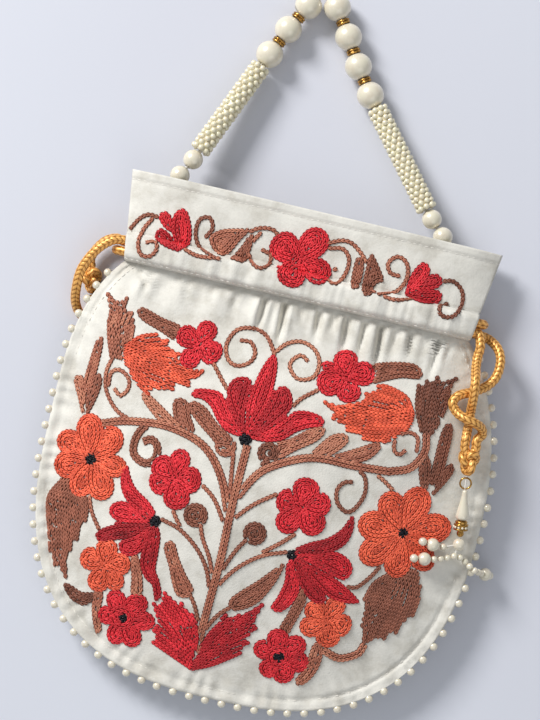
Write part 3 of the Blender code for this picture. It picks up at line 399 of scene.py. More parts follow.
def fullness(x, y, body_rise, crown):
    """Height of the outside over the seam's flat rim, body_rise high on the body and lower at the neck."""
    up = smoothstep(0.15 * NECK_Y, NECK_Y, y)
    mouth = smoothstep(CASING_TOP, BAND_TOP, y)
    rise = blend(blend(body_rise, NECK_RISE, up), NECK_RISE + MOUTH_FLARE, mouth)
    return rise * blend(crown, 1 - inside_flange(x, y) ** 6, up)


def front_base(x, y):
    share = inside_flange(x, y)
    return RIM + fullness(x, y, FRONT_BULGE, (1 - share * share) ** 1.2)


def back_base(x, y):
    crown = 1 - smoothstep(FLAT_BACK, 1, inside_flange(x, y))
    return RIM + fullness(x, y, SEAM_Z - RIM, crown)


def across(x, y):
    """-1 at the left edge, 0 on the centre line and 1 at the right edge."""
    return (x - centre_x(y)) / max(1e-6, half_width(y))


def gathers(x, y):
    """Soft pleats that run down from the neck and die away."""
    fade = smoothstep(NECK_Y - GATHER_LENGTH, NECK_Y - 0.4 * GATHER_LENGTH, y)
    fade *= 1 - smoothstep(NECK_Y - 0.3 * GATHER_LENGTH, NECK_Y - GAP, y)
    side = 1 - smoothstep(0.75, 0.95, abs(across(x, y)))
    return GATHER_DEPTH * fade * side * (0.5 + 0.5 * math.cos(math.pi * STATIONS * across(x, y)))


# Creases below the neck: across the bag at the seam, how far each wanders, its length and its depth, in millimetres
CREASES = (
    (-84, 9, 13, 1.1), (-76, -3, 20, 0.7), (-58, 1, 18, 0.5), (-46, 2, 14, 0.4), (-33, -1, 16, 0.5),
    (-19, -1, 22, 1.7), (-9, 0.5, 27, 1.9), (-1, 1, 13, 0.5), (8, 1, 20, 1.3), (16, -1, 14, 0.7),
    (22, 1, 24, 1.4), (31, 0, 26, 1.5), (39, 1.5, 31, 2.0), (47, -1, 18, 0.9), (54, 1, 22, 1.3),
    (62, 1, 15, 0.6), (68, -1, 27, 1.3), (75, -4, 16, 0.4),
)
CREASE_WIDTH, CREASE_REACH, CREASE_DEPTH = 1.7, 32, 2.0
CREASE_ROOM = 0.0032


def creases(x, y):
    """Sharp folds between the gathers, each a valley between two soft shoulders."""
    down = (NECK_Y - y) / MM
    if not 0 < down < CREASE_REACH:
        return 0.0
    total = 0.0
    for at, wander, long, deep in CREASES:
        u = (x / MM - at - wander * down / long) / CREASE_WIDTH
        if abs(u) < 4:
            fade = smoothstep(0, 2.5, down) * (1 - smoothstep(0.35, 1, down / long))
            total -= deep * fade * (1 - u * u) * math.exp(-u * u / 2)
    return total * CREASE_DEPTH * MM


def crumple(x, y, height=0.0008, size=0.026, seed=0.0):
    """Soft unevenness of cloth that has been handled."""
    broad = noise.noise(Vector((x / size, y / size, seed)))
    fine = noise.noise(Vector((x / size * 3.1, y / size * 3.1, seed + 9)))
    return height * (broad + 0.4 * fine)


def stitched_groove(off, depth, width):
    """The cloth drawn in along a row of stitching, by the distance from it."""
    return -depth * math.exp(-((off / width) ** 2))


def border(x, y):
    """The seam's stitched border: a shallow groove inside it, and small puckers across it."""
    share = share_of_radius(x, y)
    inward = (1 - share) * BODY_HALF_WIDTH
    if y > NECK_Y - 0.002 or inward > BORDER_REACH:
        return 0.0
    groove = stitched_groove(inward - SEAM_FLANGE, 0.0009, 0.0009)
    turn = math.atan2(y, x)
    puckers = 0.0005 * math.sin(turn * 83 + 2 * math.sin(turn * 19)) * (1 - smoothstep(0.004, BORDER_REACH, inward))
    return groove + puckers * smoothstep(0.0, 0.003, inward)


def front_cloth(x, y):
    calm = 1 - smoothstep(NECK_Y - 0.004, NECK_Y - 0.001, y)
    edge = 1 - smoothstep(0.93, 1.0, share_of_radius(x, y))
    loose = calm * (crumple(x, y) * edge + creases(x, y)) + border(x, y)
    return SEAM_Z + front_base(x, y) + GATHER_SHOWN * gathers(x, y) + loose


def back_cloth(x, y):
    rise = back_base(x, y)
    free = smoothstep(0, 1, (SEAM_Z - rise) / GATHER_DEPTH - 1)
    edge = 1 - smoothstep(0.93, 1, share_of_radius(x, y))
    loose = GATHER_SHOWN * gathers(x, y) + (crumple(x, y, seed=5.0) + creases(-x, y)) * edge
    return SEAM_Z - rise - free * loose + min(0.0, border(x, y))


def tunnel(y):
    """Rise of the drawstring's casing over the band."""
    t = (y - CASING_Y) / (CASING_HEIGHT / 2)
    return TUNNEL_RISE * max(0.0, 1 - t**6)


def band_rise(x, y, seed):
    """The band's casing, hem and rows of stitching, with the puckers that the drawstring makes."""
    drawn = math.exp(-(((y - CASING_Y) / 0.013) ** 2)) * (1 - smoothstep(0.85, 1.0, abs(across(x, y))))
    broad = noise.noise(Vector((x / 0.0060, y / 0.026, seed)))
    pucker = broad + 0.45 * noise.noise(Vector((x / 0.0024, y / 0.016, seed)))
    hem = HEM_THICKENING * smoothstep(BAND_TOP - HEM_HEIGHT - 0.001, BAND_TOP - HEM_HEIGHT, y)
    groove = stitched_groove(y - BAND_TOP + HEM_HEIGHT + HEM_STITCHING, 0.0004, 0.0007)
    rows = stitched_groove(y - CASING_TOP, 0.0005, 0.0008)
    loose = crumple(x, y, 0.0005, 0.022, seed) * smoothstep(CASING_TOP, CASING_TOP + 0.01, y)
    return GAP + CLOTH + tunnel(y) + hem + groove + rows + loose + PUCKER_DEPTH * drawn * pucker


def front_band_cloth(x, y):
    return SEAM_Z + front_base(x, y) + band_rise(x, y, 3.0)


def back_band_cloth(x, y):
    return SEAM_Z - back_base(x, y) - band_rise(x, y, 7.0)


# Sheets of cloth


def disc_place(u, v, top):
    """A point of the body's outline filled in, from a point of a square."""
    reach_x, reach_y = u * math.sqrt(1 - v * v / 2), v * math.sqrt(1 - u * u / 2)
    share, turn = math.hypot(reach_x, reach_y), math.atan2(reach_y, reach_x)
    c, s, p = abs(math.cos(turn)), abs(math.sin(turn)), BODY_ROUNDNESS
    radius = ((c / BODY_HALF_WIDTH) ** p + (s / BODY_HALF_HEIGHT) ** p) ** (-1 / p)
    if math.sin(turn) > 1e-6:
        radius = min(radius, top / math.sin(turn))
    y = share * radius * math.sin(turn)
    return share * radius * math.cos(turn) + centre_x(y), y


def panel_place(u, v):
    return disc_place(u, v, NECK_Y + PANEL_TUCK)


def band_place(u, v):
    y = blend(NECK_Y, BAND_TOP, (v + 1) / 2)
    return centre_x(y) + u * half_width(y), y


def velvet(node, cloth, place, grid):
    """A panel or a band: a flat grid laid out by its place and lifted to its cloth."""
    bm = flat_grid(*grid)
    for vert in bm.verts:
        x, y = place(vert.co.x, vert.co.y)
        vert.co = (x, y, cloth(x, y))
    if node.startswith("back"):
        bmesh.ops.reverse_faces(bm, faces=bm.faces[:])
    return thicken(finished(bm, f"velvet_{node}", "velvet", node), CLOTH)


def velvet_panel(node, cloth):
    velvet(node, cloth, panel_place, PANEL_GRID)


def velvet_band(node, cloth):
    velvet(node, cloth, band_place, BAND_GRID)


def lining_pouch():
    """The lining: a pouch a little smaller than the panels, open at the mouth."""
    top, reach = BAND_TOP - HEM_HEIGHT, LINING_REACH * (1 - SEAM_FLANGE / BODY_HALF_WIDTH)
    bottom = -BODY_HALF_HEIGHT * reach
    bm = flat_grid(*LINING_GRID)
    for vert in bm.verts:
        turn = math.pi * (vert.co.x + 1)
        y = blend(bottom, top, 1 - math.cos((vert.co.y + 1) * math.pi / 4))
        x = centre_x(y) + reach * half_width(y / reach if y < 0 else y) * math.cos(turn)
        base = front_base if math.sin(turn) >= 0 else back_base
        share = min(1.0, inside_flange(x, y) / LINING_REACH)
        slack = CREASE_ROOM * smoothstep(NECK_Y - 0.034, NECK_Y - 0.024, y)
        slack *= 1 - smoothstep(NECK_Y - 0.003, NECK_Y, y)
        rise = max(0.0, base(x, y) - CLOTH - LINING_ROOM - slack) * (1 - share**8)
        vert.co = (x, y, SEAM_Z + math.copysign(rise, math.sin(turn)))
    bmesh.ops.remove_doubles(bm, verts=bm.verts[:], dist=1e-6)
    bmesh.ops.recalc_face_normals(bm, faces=bm.faces[:])
    made = thicken(finished(bm, "satin_lining", "satin", "lining"), LINING)


# Small repeated shapes


def repeated(shape, matrices, dyes=()):
    """One mesh that holds the shape once at each place, with the depth of each one's dye where it is given."""
    bm = bmesh.new()
    for matrix in matrices:
        copy = shape.copy()
        copy.transform(matrix)
        bm.from_mesh(copy)
        bpy.data.meshes.remove(copy)
    if dyes:
        layer, each = bm.verts.layers.float.new("dye"), len(shape.vertices)
        for i, vert in enumerate(bm.verts):
            vert[layer] = dyes[i // each]
    return bm


def facing(where, along, up):
    """A place for a shape whose Y runs along a direction and whose Z points up."""
    along = along.normalized()
    side = along.cross(up).normalized()
    turned = Matrix((side, along, side.cross(along))).transposed().to_4x4()
    return Matrix.Translation(where) @ turned


def on_cloth(cloth, x, y, along, lift):
    """The same, on a sheet of cloth under a point, for a flat direction."""
    d = SLOPE_STEP
    slope = Vector((cloth(x + d, y) - cloth(x - d, y), cloth(x, y + d) - cloth(x, y - d))) / (2 * d)
    normal = Vector((-slope.x, -slope.y, 1)).normalized()
    ahead = Vector((along.x, along.y, slope.x * along.x + slope.y * along.y))
    return facing(Vector((x, y, cloth(x, y))) + normal * lift, ahead, normal)


LYING = Matrix.Rotation(math.pi / 2, 4, "X")


def chain_stitch(length, width):
    """One stitch: the two sides of a loop of thread, which open from where it starts, over a small dark disc of painted
    shade.
    """
    bm = bmesh.new()
    scale = Matrix.Diagonal((width * 0.235, length * 0.68, width * 0.24, 1))
    for side in (-1, 1):
        place = Matrix.Translation((side * width * 0.2, 0, 0)) @ Matrix.Rotation(side * LOOP_LEAN, 4, "Z")
        bmesh.ops.create_uvsphere(bm, u_segments=6, v_segments=4, radius=1, matrix=place @ scale @ LYING)
    # A dark disc under the loop, in the second slot: painted shade where the cloth between the stitches lies in shade
    low = Matrix.Translation((0, 0, SHADE_DISC_LIFT - STITCH_LIFT))
    ground = bmesh.ops.create_circle(bm, cap_ends=True, segments=8, radius=width * 0.68, matrix=low)
    for face in {f for v in ground["verts"] for f in v.link_faces}:
        face.material_index = 1
    return template(bm)


def running_stitch():
    bm = bmesh.new()
    scale = Matrix.Diagonal((*RUNNING_STITCH, 1))
    bmesh.ops.create_uvsphere(bm, u_segments=6, v_segments=5, radius=1, matrix=scale @ LYING)
    return template(bm)


def lengths_along(line):
    total = [0.0]
    for a, b in zip(line, line[1:]):
        total.append(total[-1] + (b - a).length)
    return total


def spaced(line, count):
    """So many steps of one length along a line, with the direction at each."""
    total = lengths_along(line)
    found, i = [], 1
    for step in range(count + 1):
        distance = total[-1] * step / count
        while i < len(line) - 1 and total[i] < distance:
            i += 1
        t = (distance - total[i - 1]) / max(1e-9, total[i] - total[i - 1])
        found.append((line[i - 1].lerp(line[i], t), (line[i] - line[i - 1]).normalized()))
    return found


def smooth_route(stops, step):
    """A smooth curve through the stops, with a point every step."""
    stops = [Vector(s) for s in stops]
    padded = [stops[0] * 2 - stops[1], *stops, stops[-1] * 2 - stops[-2]]
    fine = []
    for a, b, c, d in zip(padded, padded[1:], padded[2:], padded[3:]):
        for t in (i / 8 for i in range(8)):
            bend = (2 * a - 5 * b + 4 * c - d) * t**2 + (3 * b - a - 3 * c + d) * t**3
            fine.append(0.5 * (2 * b + (c - a) * t + bend))
    fine.append(stops[-1])
    return [p for p, _ in spaced(fine, max(2, round(lengths_along(fine)[-1] / step)))]


def body_outline(inset=0.0):
    """The round outline from the neck's left end, under the bottom, to its right end."""
    p, line = BODY_ROUNDNESS, []
    for i in range(OUTLINE_STEPS + 1):
        angle = math.pi * (0.75 + 1.5 * i / OUTLINE_STEPS)
        c, s = math.cos(angle), math.sin(angle)
        x = (BODY_HALF_WIDTH - inset) * math.copysign(abs(c) ** (2 / p), c)
        y = (BODY_HALF_HEIGHT - inset) * math.copysign(abs(s) ** (2 / p), s)
        if y <= NECK_Y:
            line.append(Vector((x + centre_x(y), y)))
    return line


def topstitching(embroidered):
    """Rows of running stitch inside the body's border, along the casing and under the hem, between the embroidery."""
    found = []
    border_row = body_outline(SEAM_FLANGE)
    rows = [(border_row, front_cloth), (border_row, back_cloth)]
    for y in (NECK_Y + 0.0012, CASING_TOP, BAND_TOP - HEM_HEIGHT - HEM_STITCHING):
        ends = [Vector((centre_x(y) + side * (half_width(y) - 0.001), y)) for side in (-1, 1)]
        rows += [(ends, front_band_cloth), (ends, back_band_cloth)]
    for line, cloth in rows:
        count = round(lengths_along(line)[-1] / TOPSTITCH_PITCH)
        for where, along in spaced(line, count):
            if not claimed(embroidered.get(cloth, {}), where.to_3d() + Vector((0, 0, cloth(where.x, where.y)))):
                continue
            lift = -TOPSTITCH_LIFT if cloth in (back_cloth, back_band_cloth) else TOPSTITCH_LIFT
            found.append(on_cloth(cloth, where.x, where.y, along, lift))
    finished(repeated(running_stitch(), found), "topstitching", "satin")


# Embroidery. Each shape gives its rows of stitches, in millimetres, a row's width apart


def stem(pitch, points, width, tip=None):
    """Rows side by side along a smooth curve, fewer where it narrows."""
    line = spaced(smooth_route(points, ROUTE_STEP), max(3, round(lengths_along([Vector(p) for p in points])[-1])))
    count = max(1, round(width / pitch))
    rows = []
    for k in range(count):
        offset = (k - (count - 1) / 2) * pitch
        row = []
        for i, (here, ahead) in enumerate(line):
            room = blend(width, tip or width, i / (len(line) - 1)) / 2
            if abs(offset) <= max(room - pitch / 2, 0) + ROW_TOLERANCE:
                row.append(here + Vector((-ahead.y, ahead.x)) * offset)
        rows.append(row)
    return rows


def contour(pitch, points):
    """Rows inside each other that follow the edge of a petal or a leaf, from its edge to its middle."""
    closed = [Vector(p) for p in points]
    turn = sum(a.cross(b) for a, b in zip(closed, closed[1:] + closed[:1]))
    closed = closed if turn > 0 else closed[::-1]
    ring = smooth_route(closed[-2:] + closed + closed[:2], ROUTE_STEP)
    start = min(range(len(ring) // 2), key=lambda i: (ring[i] - closed[0]).length)
    end = min(range(len(ring) // 2, len(ring)), key=lambda i: (ring[i] - closed[0]).length)
    return nested(pitch, ring[start:end])


def nested(pitch, ring):
    """Rows at even distances inside a ring, and then a few between them where the middle is still bare."""
    ahead = [b - a for a, b in zip(ring[-1:] + ring[:-1], ring[1:] + ring[:1])]
    inward = [Vector((-a.y, a.x)).normalized() for a in ahead]
    deepest = math.ceil(max(max((a - b).length for a in ring[::6]) for b in ring[::6]) / 2 / pitch)
    rows = []
    shares = [k + 0.5 for k in range(deepest)] + [k + 0.32 for k in range(1, deepest)]
    for inset in (share * pitch for share in shares):
        row = []
        for here, way in zip(ring + ring[:1], inward + inward[:1]):
            at = here + way * inset
            if min((at - other).length_squared for other in ring) > (inset - 0.12) ** 2:
                row.append(at)
            elif row:
                rows.append(row)
                row = []
        rows.append(row)
    return [r for r in rows if len(r) > 1] + patches(pitch, ring, ahead)


def patches(pitch, ring, ahead):
    """Short stitches all over the inside of a ring, which are only sewn where the rows leave it bare."""
    low = Vector((min(p.x for p in ring), min(p.y for p in ring)))
    high = Vector((max(p.x for p in ring), max(p.y for p in ring)))
    found = []
    for i in range(int((high.x - low.x) / PATCH_STEP)):
        for j in range(int((high.y - low.y) / PATCH_STEP)):
            at = low + Vector((i + 0.5, j + 0.5)) * PATCH_STEP
            nearest = min(range(len(ring)), key=lambda k: (ring[k] - at).length_squared)
            to_edge, way = ring[nearest] - at, ahead[nearest].normalized()
            if way.cross(-to_edge) > 0.45 * pitch:
                found.append([at, at + way * PATCH_STEP])
    return found


def petal(pitch, base, tip, width, foot=0.4):
    """A petal between its base, foot times as wide as it is at its fullest, and its round tip."""
    base, tip = Vector(base), Vector(tip)
    side = Vector((base.y - tip.y, tip.x - base.x)).normalized()

    def place(t, way):
        if t < PETAL_FULLEST:
            share = foot + (1 - foot) * math.sin(math.pi / 2 * t / PETAL_FULLEST)
        else:
            share = math.sqrt(max(0.0, 1 - ((t - PETAL_FULLEST) / (1 - PETAL_FULLEST)) ** 2))
        return base.lerp(tip, t) + side * (way * share * width / 2)

    stops = [math.sin(math.pi / 2 * i / 12) for i in range(13)]
    edge = [place(t, -1) for t in stops] + [place(t, 1) for t in reversed(stops[:-1])]
    steps = round(sum((b - a).length for a, b in zip(edge, edge[1:] + edge[:1])) / ROUTE_STEP)
    return nested(pitch, [p for p, _ in spaced(edge + edge[:1], steps)][:-1])


def disc(pitch, x, y, radius):
    """Rings inside each other round a first stitch."""
    rows = []
    ring = radius - pitch / 2
    while ring > 0.5:
        turns = [2 * math.pi * i / 24 for i in range(25)]
        rows.append([Vector((x + ring * math.cos(a), y + ring * math.sin(a))) for a in turns])
        ring -= pitch
    rows.append([Vector((x - 0.3, y)), Vector((x + 0.8, y))])
    return rows


def fan(pitch, *guides):
    """Rows that spread from a leaf's base. Each guide ends in a tooth, and the rows between guides are shorter."""
    guides = [[p for p, _ in spaced(smooth_route(g, ROUTE_STEP), 24)] for g in guides]
    rows = [guides[0]]
    for first, last in zip(guides, guides[1:]):
        apart = max((a - b).length for a, b in zip(first[12:], last[12:]))
        count = max(1, round(apart / pitch))
        for k in range(1, count + 1):
            row = [a.lerp(b, k / count) for a, b in zip(first, last)]
            notch = min(TOOTH, 0.4 * apart) * math.sin(math.pi * k / count) / lengths_along(row)[-1]
            rows.append(row[:max(3, round(25 * (1 - notch)))])
    return [row[::-1] for row in rows]


def layout(text):
    """Shapes from their text: a kind, its values, a colon and its points in millimetres from the layout's middle.

    Commas part the points, bars the guides of a fan or a flower's middle from its tips, and semicolons the shapes.
    A disc's point ends with its radius, and a petal's tip with its width. dye runs from 0, dark, to 1, pale.
    """
    shapes = []
    for entry in text.split(";"):
        head, _, body = entry.partition(":")
        kind, *values = head.split()
        how = {key: float(value) for key, value in (pair.split("=") for pair in values)}
        dye = how.pop("dye", DYE)
        guides = [[tuple(float(n) for n in point.split()) for point in part.split(",")] for part in body.split("|")]
        if kind == "petals":
            shapes += [(petal, (guides[0][0], (x, y), width), dye, how) for x, y, width in guides[1]]
        elif kind == "disc":
            shapes += [(disc, place, dye, how) for place in guides[0]]
        else:
            shapes.append(({"stem": stem, "contour": contour, "fan": fan}[kind], guides, dye, how))
    return shapes


